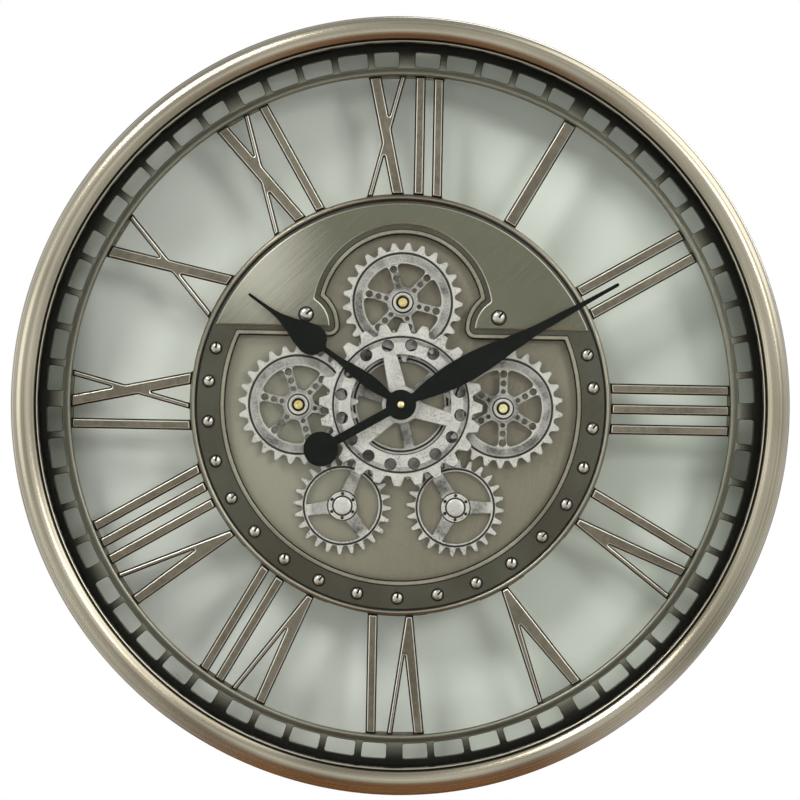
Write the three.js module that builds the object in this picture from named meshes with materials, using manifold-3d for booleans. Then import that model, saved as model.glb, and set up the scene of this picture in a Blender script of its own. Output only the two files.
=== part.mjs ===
// Gear wall clock: a round metal case with an open dial, raised roman numerals and a
// recessed centre disc where a train of show gears turns behind the hands.
// Millimetres. The model is drawn looking at the dial: x to the right, y up and z from the
// wall towards the room. The finished group is turned so that up becomes +Z, and its origin
// is the point of the wall behind the centre of the dial.

import * as THREE from "three";
import { mergeVertices } from "three/addons/utils/BufferGeometryUtils.js";
import Module from "manifold-3d";

const wasm = await Module();
wasm.setup();

// Clearance between pieces that touch, and between a shaft and its hole
const GAP = 0.3;

// Case band and bezel
const CASE_R = 260;
const CASE_WALL = 1.6;
const CASE_EDGE_ROUND = 2;
const REAR_FLANGE_W = 8;
const SEAT_T = 1.6;
const BEZEL_STEP = 6;
const BEZEL_W = 16.6;
const BEZEL_WALL = 1.6;
const BEZEL_NECK_STEP = 2.5;
const BEZEL_NECK_H = 2.4;
const BEZEL_LIP_H = 2.8;

// Glass, its gasket and the black ring that holds it off the dial
const GLASS_T = 3;
const GASKET_T = 0.6;
const SPACER_W = 4.5;

// Chapter ring with the minute windows
const DIAL_T = 3.6;
const DIAL_FIT = 2.2;
const SEAT_COVER = 2.4;
const WINDOW_H = 10;
const CHAPTER_LIP_W = 5.7;
const MINUTE_POST_W = 4.6;
const HOUR_POST_W = 11;
const HOURS = 12;
const MINUTES_PER_HOUR = 5;

// Roman numerals
const BAR_W = 6.8;
const X_THICK_W = 8.2;
const X_THIN_W = 4;
const V_THICK_W = 7;
const V_THIN_W = 3.8;
const V_NOTCH_H = 26;
const V_FOOT_LEFT = 3.8;
const V_FOOT_RIGHT = 1.3;
const BAR_PITCH = 12.2;
const TWO_BAR_PITCH = 17;
const THREE_BAR_PITCH = 13.5;
const PAIR_BAR_X = 16;
const PAIR_LETTER_X = 7;
const TRIPLE_BAR_X = 9.2;
const TRIPLE_LETTER_X = 12.8;
const EIGHT_BAR_X = 3.4;
const EIGHT_LETTER_X = 19.2;
const NARROW_HALF = 12.4;
const WIDE_HALF = 16.5;
const NUMERAL_PROUD = 0.6;
const FOOT_T = 1.5;
const FOOT_LAP = 4.6;

// Centre disc
const DISC_RIM_W = 3.5;
const DISC_RIM_H = 4.6;
const GEAR_PLATE_T = 1.5;
const BAND_H = 6.1;
const BAND_W = 18.7;
const WELL_MARGIN = 7.5;
const BORDER_W = 3.3;
const BORDER_PROUD = 0.8;
const TOP_PLATE_T = 1;
const TOP_PLATE_INSET = 6.1;
const CHORD_MARGIN = 11.5;
const ARCH_DROP = 7.3;
const ARCH_MARGIN = 19.6;
const ARCH_RISE = 2.7;
const TAB_MARGIN = 8.5;
const TAB_R = 20.8;
const TOP_PLATE_GROOVE = 2.8;
const BAND_SCREW_COUNT = 17;
const BAND_SCREW_STEP = 12;
const BAND_SCREW_END_STEP = 10;
const BAND_SCREW_HEAD_R = 3.5;
const BAND_SCREW_HEAD_H = 1.9;
const TAB_SCREW_IN = 15.6;
const TAB_SCREW_UP = 7.6;
const TAB_SCREW_HEAD_R = 3.6;
const TAB_SCREW_HEAD_H = 2;
const TAB_SCREW_SHANK_R = 1.6;
const TAB_SCREW_GRIP = 4;

// Show gears: both centre gears on one tube, three six-spoke gears, two three-spoke gears
const LAYER_T = 3;
const LAYER_SPACE = 0.7;
const PLATE_SPACE = 1;
const MESH_MODULE = 2.5;
const LOWER_TEETH = 38;
const BOTTOM_TEETH = 24;
const BOTTOM_SPREAD = 29;
const UPPER_TEETH = 24;
const UPPER_TIP_R = 54.2;
const UPPER_TOOTH_H = 6.2;
const UPPER_T = 3.5;
const UPPER_RIM_W = 14.7;
const UPPER_HOLES = 16;
const UPPER_HOLE_R = 3.7;
const UPPER_HOLE_INSET = 8;
const UPPER_SPOKE_RIM_W = 9.2;
const UPPER_SPOKE_HUB_W = 12;
const LOWER_RIM_W = 15.4;
const LOWER_SPOKE_W = 7;
const CENTER_HUB_R = 12.5;
const SIDE_TEETH = 25;
const SIDE_TIP_R = 39.9;
const SIDE_TOOTH_H = 4.9;
const SIDE_RIM_W = 9.2;
const SIDE_HUB_R = 10.3;
const SIDE_SPOKE_W = 5.6;
const SIDE_DROOP = 1;
const COLLAR_OUTER_R = 6.6;
const COLLAR_INNER_R = 4.5;
const COLLAR_H = 1.7;
const BOTTOM_RIM_W = 2.8;
const BOTTOM_HUB_R = 9.9;
const BOTTOM_HUB_H = 1;
const BOTTOM_SPOKE_RIM_W = 7.6;
const BOTTOM_SPOKE_HUB_W = 9.4;
const ARBOR_R = 2.5;
const SIDE_ARBOR_HEAD_R = 3.3;
const SIDE_ARBOR_HEAD_H = 1.8;
const BOTTOM_ARBOR_HEAD_R = 6.1;
const BOTTOM_ARBOR_HEAD_H = 1.4;
const BOTTOM_ARBOR_CROWN = 0.7;
const ARBOR_COLLAR_R = 4.5;
const CENTER_TUBE_R = 7;
const CENTER_SPOKES = 3;
const SIDE_SPOKES = 6;
const BOTTOM_SPOKES = 3;

// Tooth forms: thickness at root and tip as shares of the pitch, dedendum in modules
const UPPER_TOOTH = { root: 0.74, tip: 0.33 };
const SIDE_TOOTH = { root: 0.7, tip: 0.22 };
const MESH_TOOTH = { root: 0.62, tip: 0.24, dedendum: 1.25 };

// Dome heads: height of the straight skirt and radius of the flat crown, as shares
const DOME = { skirt: 0.3, crown: 0.55 };

// Drive train behind the gear plate
const DRIVE_MODULE = 3.4;
const DRIVE_WHEEL_TEETH = 26;
const DRIVE_PINION_TEETH = 14;
const MOTOR_TEETH = 9;
const MOTOR_ANGLE = 45;
const DRIVE_T = 4;
const DRIVE_SPACE = 0.8;
const TRAIN_PLATE_T = 1.5;
const POST_R = 4.5;
const POST_MARGIN = 4.5;
const POST_TOP_ANGLE = 40;
const POST_BOTTOM_ANGLE = -43;
const COVER_SCREW_R = 1.6;
const COVER_SCREW_HEAD_R = 3.5;
const COVER_SCREW_HEAD_H = 1.2;
const COVER_SCREW_SUNK = 0.4;

// Movement, motor and battery tray inside the rear cover
const COVER_T = 3.4;
const COVER_WALL = 2.6;
const COVER_MARGIN = 2.2;
const MOVEMENT_SIZE = 56;
const MOVEMENT_DEPTH = 15;
const BUSH_R = 4;
const BUSH_WALL = 0.6;
const BUSH_NUT_R = 6.5;
const BUSH_NUT_H = 1;
const MOTOR_R = 12;
const MOTOR_SHAFT_R = 1;
const CELL_R = 7;
const CELL_LENGTH = 50;
const CELL_INSET = 12;
const TRAY_SPACE = 34.7;
const TRAY_WALL = 2;
const SWITCH_ROOM = 20;
const KNOB_INSET = 12;
const KNOB_R = 8;
const KNOB_H = 3.6;
const KNOB_STEM_R = 2;
const KNOB_STEM_L = 5;
const SWITCH_W = 5;
const SWITCH_H = 4;
const SWITCH_L = 6;
const SWITCH_TRAVEL = 4;
const BACK_CLEARANCE = 0.6;

// Hands, standing at ten past ten
const HAND_T = 1.2;
const HAND_SPACE = 1.4;
const HOUR_ANGLE = 145;
const MINUTE_ANGLE = 30;
const HOUR_LENGTH = 124.6;
const HOUR_BOSS_R = 10;
const HOUR_SPADE_AT = 73;
const HOUR_SPADE_W = 20.5;
const HOUR_NECK_W = 5;
const HOUR_BELLY_W = 9.2;
const MINUTE_LENGTH = 164.7;
const MINUTE_BOSS_R = 9.4;
const MINUTE_BELLY_AT = 50;
const MINUTE_BELLY_W = 17;
const MINUTE_NECK_W = 6.5;
const TAIL_LENGTH = 60.4;
const TAIL_DISC_R = 11.6;
const TAIL_W = 5.8;
const POINT_W = 1.8;
const HAND_TUBE_WALL = 1;
const CAP_R = 2.4;
const CAP_H = 1.3;
const CAP_TO_GLASS = 3;

// Hanger plate at the top of the case band
const HANGER_W = 44;
const HANGER_H = 16.5;
const HANGER_T = 1.5;
const KEYHOLE_R = 5;
const KEYHOLE_SLOT_R = 2.4;
const KEYHOLE_RISE = 6.5;

// Facets of round pieces
const CASE_SEGMENTS = 48;
const CHAPTER_SEGMENTS = 72;
const DISC_SEGMENTS = 48;
const SHAFT_SEGMENTS = 12;
const POST_SEGMENTS = 6;
const RIM_FACETS = 18;
const STRIP_FACET = 4;
const WELL_FACETS = { corner: 2, tab: 3, arch: 14, above: 14, below: 26 };
const ROLL_FACETS = { outer: 4, inner: 2 };
const KEYHOLE_FACETS = { round: 10, slot: 4 };
const NUT_SIDES = 6;

// Colours of the finishes
const PEWTER = { color: 0x8c867a, roughness: 0.35, metalness: 0.9 };
const DARK_PEWTER = { color: 0x4a473e, roughness: 0.45, metalness: 0.8 };
const AGED_SILVER = { color: 0xc3c2b8, roughness: 0.5, metalness: 0.6 };
const BRASS = { color: 0xc9b56a, roughness: 0.3, metalness: 0.9 };
const BLACK = { color: 0x141614, roughness: 0.6, metalness: 0.1 };
const GREY_PLASTIC = { color: 0x3a3a3a, roughness: 0.7, metalness: 0 };
const WHITE_PLASTIC = { color: 0xd8d6cc, roughness: 0.6, metalness: 0 };
const CELL_GREEN = { color: 0x3f6b4a, roughness: 0.5, metalness: 0.3 };
const CLEAR_GLASS = { color: 0xe8f0ee, roughness: 0.05, metalness: 0, transparent: true, opacity: 0.2 };

// Levels from the wall to the glass
const movementBack = COVER_T + GAP;
const movementFront = movementBack + MOVEMENT_DEPTH;
const trainPlateBack = movementFront + GAP;
const trainPlateFront = trainPlateBack + TRAIN_PLATE_T;
const driveBack = trainPlateFront + DRIVE_SPACE;
const driveFront = driveBack + DRIVE_T;
const gearPlateBack = driveFront + DRIVE_SPACE;
const gearPlateFront = gearPlateBack + GEAR_PLATE_T;
const lowLayer = gearPlateFront + PLATE_SPACE;
const midLayer = lowLayer + LAYER_T + LAYER_SPACE;
const topLayer = midLayer + LAYER_T + LAYER_SPACE;
const topFront = topLayer + UPPER_T;
const bandBack = gearPlateFront + GAP;
const bandFront = bandBack + BAND_H;
const footBack = gearPlateFront + PLATE_SPACE + GAP;
const seatFront = footBack + FOOT_T;
const dialBack = seatFront + GAP;
const dialFront = dialBack + DIAL_T;
const numeralFront = dialFront - NUMERAL_PROUD;
const nutBack = topFront + GAP + GAP;
const bushFront = nutBack + BUSH_NUT_H;
const hourBack = bushFront + GAP;
const hourFront = hourBack + HAND_T;
const minuteBack = hourFront + HAND_SPACE;
const minuteFront = minuteBack + HAND_T;
const capFront = minuteFront + GAP + CAP_H;
const glassBack = capFront + CAP_TO_GLASS;
const glassFront = glassBack + GLASS_T;
const gasketBack = glassFront + GAP;
const lipBack = gasketBack + GASKET_T + GAP;

// Gear centres
const meshRadius = (teeth, module) => (teeth * module) / 2;
const meshRoot = (teeth, module) => meshRadius(teeth, module) - MESH_TOOTH.dedendum * module;
const upperRootR = UPPER_TIP_R - UPPER_TOOTH_H;
const sideRootR = SIDE_TIP_R - SIDE_TOOTH_H;
const bottomDistance = meshRadius(LOWER_TEETH + BOTTOM_TEETH, MESH_MODULE);
const sideDistance = meshRadius(DRIVE_WHEEL_TEETH + DRIVE_PINION_TEETH, DRIVE_MODULE);
const motorDistance = meshRadius(DRIVE_WHEEL_TEETH + MOTOR_TEETH, DRIVE_MODULE);
const cellY = MOVEMENT_SIZE / 2 - CELL_INSET;
const knobY = KNOB_INSET - MOVEMENT_SIZE / 2;
const trayHalf = CELL_R + GAP + TRAY_WALL;
const trayY = -(MOVEMENT_SIZE / 2 + TRAY_SPACE + trayHalf);
const pinionReach = sideDistance + meshRadius(DRIVE_PINION_TEETH + 2, DRIVE_MODULE);
const coverR = pinionReach + COVER_MARGIN + COVER_WALL;

// Radii from the case to the disc
const bezelR = CASE_R - BEZEL_STEP;
const neckR = bezelR - BEZEL_NECK_STEP;
const lipR = bezelR - BEZEL_W;
const dialR = neckR - BEZEL_WALL - DIAL_FIT;
const windowOuterR = lipR - SEAT_COVER;
const windowInnerR = windowOuterR - WINDOW_H;
const chapterInnerR = windowInnerR - CHAPTER_LIP_W;
const seatInnerR = windowOuterR + SEAT_COVER - GAP;
const archY = sideDistance - ARCH_DROP;
const archR = SIDE_TIP_R + ARCH_MARGIN;
const bottomReach = bottomDistance + meshRadius(BOTTOM_TEETH + 2, MESH_MODULE) + WELL_MARGIN;
const wellR = Math.max(bottomReach, archY + archR - ARCH_RISE);
const bandR = wellR + BAND_W;
const discInnerR = bandR + GAP;
const discR = discInnerR + DISC_RIM_W;
const borderOuterR = wellR + BORDER_W;
const chordY = SIDE_TIP_R + CHORD_MARGIN;
const tabX = SIDE_TIP_R + TAB_MARGIN;
const topPlateR = bandR - TOP_PLATE_GROOVE;
const bandScrewR = (borderOuterR + bandR) / 2;

const radians = THREE.MathUtils.degToRad;
const degrees = THREE.MathUtils.radToDeg;

/** A point at a radius and an angle in degrees, round a centre. */
function polar(radius, angle, centre = [0, 0]) {
  const x = centre[0] + radius * Math.cos(radians(angle));
  const y = centre[1] + radius * Math.sin(radians(angle));
  return new THREE.Vector2(x, y);
}

/** Points along an arc, both ends included. */
function arc(radius, from, to, steps, centre = [0, 0]) {
  const angle = (i) => from + ((to - from) * i) / steps;
  return Array.from({ length: steps + 1 }, (_, i) => polar(radius, angle(i), centre));
}

/** Points of a full circle. */
function circle(radius, steps, centre = [0, 0], phase = 0) {
  return arc(radius, phase, phase + 360, steps, centre).slice(0, -1);
}

/** Corners of an upright rectangle. */
function rectangle(left, right, bottom, top) {
  const corners = [[left, bottom], [right, bottom], [right, top], [left, top]];
  return corners.map(([x, y]) => new THREE.Vector2(x, y));
}

/** A flat piece: an outline with holes, between two levels. */
function plate(outline, back, front, holes = []) {
  const shape = new THREE.Shape(outline);
  shape.holes = holes.map((hole) => new THREE.Path(hole));
  const geometry = new THREE.ExtrudeGeometry(shape, { depth: front - back, bevelEnabled: false });
  return geometry.translate(0, 0, back);
}

/** A turned piece: a closed run of [radius, level] pairs, outer side rising. */
function turned(profile, segments, centre = [0, 0]) {
  const closed = [...profile, profile[0]].map(([radius, level]) => new THREE.Vector2(radius, level));
  const geometry = new THREE.LatheGeometry(closed, segments);
  return geometry.rotateX(Math.PI / 2).translate(centre[0], centre[1], 0);
}

/** A turned piece that is solid on its axis: [radius, level] pairs from back to front. */
function solidTurned(profile, segments, centre = [0, 0]) {
  const points = [[0, profile[0][1]], ...profile, [0, profile.at(-1)[1]]];
  const outline = points.map(([radius, level]) => new THREE.Vector2(radius, level));
  const geometry = new THREE.LatheGeometry(outline, segments);
  return geometry.rotateX(Math.PI / 2).translate(centre[0], centre[1], 0);
}

/** A plain round bar between two levels. */
function bar(radius, back, front, segments, centre = [0, 0]) {
  return solidTurned([[radius, back], [radius, front]], segments, centre);
}

/** A box between two corners. */
function block(low, high) {
  const size = high.map((value, i) => value - low[i]);
  const middle = high.map((value, i) => (value + low[i]) / 2);
  return new THREE.BoxGeometry(...size).translate(...middle);
}

/** The triangles whose three corners differ. */
function wholeTriangles(index) {
  const kept = [];
  for (let i = 0; i < index.length; i += 3) {
    const [a, b, c] = index.slice(i, i + 3);
    if (a !== b && b !== c && c !== a) kept.push(a, b, c);
  }
  return kept;
}

/** The closed solid of a geometry, for joining and cutting. */
function solid(geometry) {
  const bare = geometry.clone();
  bare.deleteAttribute("normal");
  bare.deleteAttribute("uv");
  const merged = mergeVertices(bare);
  const vertProperties = new Float32Array(merged.attributes.position.array);
  const triVerts = new Uint32Array(wholeTriangles(merged.index.array));
  return new wasm.Manifold(new wasm.Mesh({ numProp: 3, vertProperties, triVerts }));
}

/** The geometry of a solid. */
function shapeOf(body) {
  const mesh = body.getMesh();
  const geometry = new THREE.BufferGeometry();
  geometry.setAttribute("position", new THREE.BufferAttribute(new Float32Array(mesh.vertProperties), 3));
  geometry.setIndex(new THREE.BufferAttribute(new Uint32Array(mesh.triVerts), 1));
  return geometry;
}

/** One piece made of several joined geometries. */
function join(...pieces) {
  return shapeOf(pieces.map(solid).reduce((whole, piece) => whole.add(piece)));
}

/** A piece with others cut out of it. */
function cut(piece, ...tools) {
  return shapeOf(tools.map(solid).reduce((whole, tool) => whole.subtract(tool), solid(piece)));
}

/** What two pieces share. */
function common(piece, other) {
  return shapeOf(solid(piece).intersect(solid(other)));
}

/** Outline of a gear with straight-flanked teeth of a given form, the first at an angle. */
function gearOutline(teeth, rootR, tipR, tooth, phase) {
  const pitch = 360 / teeth;
  const atRoot = (tooth.root * pitch) / 2;
  const atTip = (tooth.tip * pitch) / 2;
  return Array.from({ length: teeth }, (_, i) => {
    const middle = phase + i * pitch;
    return [
      polar(rootR, middle - atRoot),
      polar(tipR, middle - atTip),
      polar(tipR, middle + atTip),
      polar(rootR, middle + atRoot),
    ];
  }).flat();
}

/** Outline of a gear that meshes, with an addendum of one module. */
function meshOutline(teeth, module, phase) {
  const tipR = meshRadius(teeth, module) + module;
  return gearOutline(teeth, meshRoot(teeth, module), tipR, MESH_TOOTH, phase);
}

/** Tooth angle of a gear that meshes with one on the centre, seen from it at an angle. */
function meshPhase(angle, centreTeeth, centrePhase, teeth) {
  const offset = ((centrePhase - angle) * centreTeeth) / 360;
  return angle + 180 + ((0.5 - offset) * 360) / teeth;
}

/** The windows between the spokes of a wheel. */
function spokeWindows(count, spoke, rimR, hubR) {
  const atRim = degrees(Math.asin(spoke.rimW / 2 / rimR));
  const atHub = degrees(Math.asin(spoke.hubW / 2 / hubR));
  const pitch = 360 / count;
  const facets = RIM_FACETS / count;
  return Array.from({ length: count }, (_, i) => {
    const start = spoke.at + i * pitch;
    const outer = arc(rimR, start + atRim, start + pitch - atRim, facets);
    const inner = arc(hubR, start + pitch - atHub, start + atHub, Math.ceil(facets / 2));
    return [...outer, ...inner];
  });
}

/** Where two circles cross, on the side of smaller x. */
function crossing(centreA, radiusA, centreB, radiusB) {
  const a = new THREE.Vector2(...centreA);
  const b = new THREE.Vector2(...centreB);
  const along = b.clone().sub(a);
  const distance = along.length();
  along.normalize();
  const reach = (distance ** 2 + radiusA ** 2 - radiusB ** 2) / (2 * distance);
  const rise = Math.sqrt(radiusA ** 2 - reach ** 2);
  const foot = a.addScaledVector(along, reach);
  return new THREE.Vector2(foot.x - along.y * rise, foot.y + along.x * rise);
}

const clock = new THREE.Group();
clock.name = "gear_wall_clock";
clock.rotation.x = Math.PI / 2;

/** Adds one named piece to the clock. */
function add(name, geometry, finish, centre = [0, 0]) {
  const mesh = new THREE.Mesh(geometry, new THREE.MeshStandardMaterial(finish));
  mesh.name = name;
  mesh.position.set(centre[0], centre[1], 0);
  clock.add(mesh);
}

/** Case band: a drum open at the back, with the seat that carries the dial. */
function addCaseBand() {
  const inside = CASE_R - CASE_WALL;
  const profile = [
    [CASE_R - REAR_FLANGE_W, 0],
    [CASE_R, 0],
    [CASE_R, seatFront - CASE_EDGE_ROUND],
    [CASE_R - CASE_EDGE_ROUND, seatFront],
    [seatInnerR, seatFront],
    [seatInnerR, seatFront - SEAT_T],
    [inside, seatFront - SEAT_T],
    [inside, CASE_WALL],
    [CASE_R - REAR_FLANGE_W, CASE_WALL],
  ];
  add("case_band", turned(profile, CASE_SEGMENTS), PEWTER);
}

/** Bezel ring: a rolled shell, open behind, whose lip holds the glass. */
function addBezelRing() {
  const neckFront = dialBack + BEZEL_NECK_H;
  const flare = neckFront + BEZEL_NECK_STEP;
  const rollR = BEZEL_W / 2;
  const rollLevel = lipBack + BEZEL_LIP_H;
  const rollCentre = [bezelR - rollR, rollLevel];
  const pair = (point) => [point.x, point.y];
  const outerRoll = arc(rollR, 0, 180, ROLL_FACETS.outer, rollCentre).map(pair);
  const innerRoll = arc(rollR - BEZEL_WALL, 180, 0, ROLL_FACETS.inner, rollCentre).map(pair);
  const profile = [
    [neckR, dialBack],
    [neckR, neckFront],
    [bezelR, flare],
    ...outerRoll,
    [lipR, lipBack],
    [lipR + BEZEL_WALL, lipBack],
    ...innerRoll,
    [bezelR - BEZEL_WALL, flare + BEZEL_WALL],
    [neckR - BEZEL_WALL, neckFront + BEZEL_WALL],
    [neckR - BEZEL_WALL, dialBack],
  ];
  add("bezel_ring", turned(profile, CASE_SEGMENTS), PEWTER);
}

/** A plain ring between two radii and two levels. */
function ring(innerR, outerR, back, front, segments) {
  return turned([[innerR, back], [outerR, back], [outerR, front], [innerR, front]], segments);
}

/** Glass with the spacer ring behind it and the gasket in front of it. */
function addGlazing() {
  const spacerInner = dialR - SPACER_W;
  add("spacer_ring", ring(spacerInner, dialR, dialFront + GAP, glassBack - GAP, CASE_SEGMENTS), BLACK);
  add("glass", bar(dialR, glassBack, glassFront, CASE_SEGMENTS), CLEAR_GLASS);
  const gasket = ring(lipR + BEZEL_WALL, dialR, gasketBack, gasketBack + GASKET_T, CASE_SEGMENTS);
  add("glass_gasket", gasket, BLACK);
}

/** Chapter ring with five windows between every two hours. */
function addChapterRing() {
  const count = HOURS * MINUTES_PER_HOUR;
  const step = 360 / count;
  const middleR = (windowInnerR + windowOuterR) / 2;
  const halfPost = (mark) => {
    const width = mark % MINUTES_PER_HOUR === 0 ? HOUR_POST_W : MINUTE_POST_W;
    return degrees(width / 2 / middleR);
  };
  const windows = Array.from({ length: count }, (_, mark) => {
    const from = mark * step + halfPost(mark);
    const to = (mark + 1) * step - halfPost(mark + 1);
    return [...arc(windowOuterR, from, to, 1), ...arc(windowInnerR, to, from, 1)];
  });
  const outline = circle(dialR, CASE_SEGMENTS);
  const inner = circle(chapterInnerR, CHAPTER_SEGMENTS);
  const blank = plate(outline, dialBack, dialFront, [inner, ...windows]);
  add("chapter_ring", blank, PEWTER);
}

// Ends of the numeral strokes, measured outwards from the dial centre
const strokeFoot = discR - FOOT_LAP;
const strokeHead = chapterInnerR + FOOT_LAP;

/** A stroke whose ends are centred at two places across the numeral. */
function stroke(headX, footX, width) {
  const half = width / 2;
  return [
    new THREE.Vector2(footX - half, strokeFoot),
    new THREE.Vector2(footX + half, strokeFoot),
    new THREE.Vector2(headX + half, strokeHead),
    new THREE.Vector2(headX - half, strokeHead),
  ];
}

/** The letter I at a place across the numeral. */
function letterI(x) {
  return [stroke(x, x, BAR_W)];
}

/** The letter X about a place across the numeral. */
function letterX(x, half) {
  const thick = half - X_THICK_W / 2;
  const thin = half - X_THIN_W / 2;
  return [stroke(x - thick, x + thick, X_THICK_W), stroke(x + thin, x - thin, X_THIN_W)];
}

/** The letter V about a place across the numeral, thick stroke on the left. */
function letterV(x, half) {
  const notch = new THREE.Vector2(x + V_FOOT_RIGHT, discR + V_NOTCH_H);
  return [[
    new THREE.Vector2(x - V_FOOT_LEFT, strokeFoot),
    new THREE.Vector2(x + V_FOOT_RIGHT, strokeFoot),
    new THREE.Vector2(x + half, strokeHead),
    new THREE.Vector2(x + half - V_THIN_W, strokeHead),
    notch,
    new THREE.Vector2(x - half + V_THICK_W, strokeHead),
    new THREE.Vector2(x - half, strokeHead),
  ]];
}

/** The letters I from a place across the numeral, one pitch apart. */
function bars(count, first, pitch = BAR_PITCH) {
  return Array.from({ length: count }, (_, i) => letterI(first + i * pitch)).flat();
}

// Letters of each numeral, set out across it
const NUMERALS = {
  1: letterI(0),
  2: bars(2, -TWO_BAR_PITCH / 2, TWO_BAR_PITCH),
  3: bars(3, -THREE_BAR_PITCH, THREE_BAR_PITCH),
  4: [...letterI(-PAIR_BAR_X), ...letterV(PAIR_LETTER_X, NARROW_HALF)],
  5: letterV(0, WIDE_HALF),
  6: [...letterV(-PAIR_LETTER_X, NARROW_HALF), ...letterI(PAIR_BAR_X)],
  7: [...letterV(-TRIPLE_LETTER_X, NARROW_HALF), ...bars(2, TRIPLE_BAR_X)],
  8: [...letterV(-EIGHT_LETTER_X, NARROW_HALF), ...bars(3, EIGHT_BAR_X)],
  9: [...letterI(-PAIR_BAR_X), ...letterX(PAIR_LETTER_X, NARROW_HALF)],
  10: letterX(0, WIDE_HALF),
  11: [...letterX(-PAIR_LETTER_X, NARROW_HALF), ...letterI(PAIR_BAR_X)],
  12: [...letterX(-TRIPLE_LETTER_X, NARROW_HALF), ...bars(2, TRIPLE_BAR_X)],
};

/** A slice of a flat ring, standing on the numeral's own upright axis. */
function ringSlice(innerR, outerR, half, steps, back, front) {
  const outer = arc(outerR, 90 - half, 90 + half, steps);
  const inner = arc(innerR, 90 + half, 90 - half, steps);
  return plate([...outer, ...inner], back, front);
}

/** A numeral: its strokes between disc and chapter ring, joined by a foot strip at each end. */
function numeral(letters) {
  const points = letters.flat();
  const spread = (level) => {
    const near = points.filter((point) => Math.abs(point.y - level) < GAP);
    return Math.max(...near.map((point) => Math.abs(point.x)));
  };
  const sweep = 20;
  const window = ringSlice(discR + GAP, chapterInnerR - 2 * GAP, sweep, sweep, footBack, numeralFront);
  const strokes = letters.map((outline) => common(plate(outline, footBack, numeralFront), window));
  const headHalf = degrees(Math.asin(spread(strokeHead) / chapterInnerR));
  const footHalf = degrees(Math.asin(spread(strokeFoot) / discR));
  const strip = (innerR, outerR, half) => {
    const facets = Math.ceil(half / STRIP_FACET);
    return ringSlice(innerR, outerR, half, facets, footBack, seatFront);
  };
  const head = strip(chapterInnerR - 5 * GAP, windowInnerR - GAP, headHalf);
  const foot = strip(discInnerR + GAP, discR + 4 * GAP, footHalf);
  return join(...strokes, head, foot);
}

/** The twelve numerals round the dial. */
function addNumerals() {
  for (const [hour, letters] of Object.entries(NUMERALS)) {
    const turn = -radians((Number(hour) * 360) / HOURS);
    add(`numeral_${hour.padStart(2, "0")}`, numeral(letters).rotateZ(turn), PEWTER);
  }
}

/** Upper edge of the gear well, drawn from left to right, a distance inside the top plate's edge. */
function wellEdge(inset, outerR) {
  const tabCentre = [-tabX - TAB_R, chordY];
  const archCentre = [0, archY];
  const chord = chordY - inset;
  const cusp = crossing(tabCentre, TAB_R + inset, archCentre, archR - inset);
  const tabEnd = degrees(Math.atan2(cusp.y - tabCentre[1], cusp.x - tabCentre[0]));
  const archStart = degrees(Math.atan2(cusp.y - archCentre[1], cusp.x - archCentre[0]));
  const start = new THREE.Vector2(-Math.sqrt(outerR ** 2 - chord ** 2), chord);
  const sharp = [-tabX, chordY];
  const corner = inset > 0 ? arc(inset, -90, 0, WELL_FACETS.corner, sharp) : [new THREE.Vector2(...sharp)];
  const tab = arc(TAB_R + inset, 0, tabEnd, WELL_FACETS.tab, tabCentre).slice(1);
  const left = [start, ...corner, ...tab];
  const sweep = arc(archR - inset, archStart, 180 - archStart, WELL_FACETS.arch, archCentre);
  const arch = sweep.slice(1, -1);
  const right = left.map((point) => new THREE.Vector2(-point.x, point.y)).reverse();
  return [...left, ...arch, ...right];
}

/** The round side below or above the well's upper edge, from its right end to its left end. */
function closingArc(edge, radius, below) {
  const from = degrees(Math.asin(edge[0].y / radius));
  const to = below ? -180 - from : 180 - from;
  const steps = below ? WELL_FACETS.below : WELL_FACETS.above;
  return arc(radius, from, to, steps).slice(1, -1);
}

/** Outline of the well, or of its raised border, at an inset from the top plate. */
function wellOutline(inset, radius) {
  const edge = wellEdge(inset, radius);
  return [...edge, ...closingArc(edge, radius, true)].reverse();
}

/** Centres of the dome screws along the lower band. */
function bandScrewCentres() {
  const half = (BAND_SCREW_COUNT - 1) / 2;
  const angles = Array.from({ length: BAND_SCREW_COUNT }, (_, i) => -90 + (i - half) * BAND_SCREW_STEP);
  angles.unshift(angles[0] - BAND_SCREW_END_STEP);
  angles.push(angles.at(-1) + BAND_SCREW_END_STEP);
  return angles.map((angle) => polar(bandScrewR, angle).toArray());
}

/** A dome screw head standing on a level. */
function dome(radius, height, level, segments, centre) {
  const profile = [
    [radius, level - GAP],
    [radius, level + height * DOME.skirt],
    [radius * DOME.crown, level + height],
  ];
  return solidTurned(profile, segments, centre);
}

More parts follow.
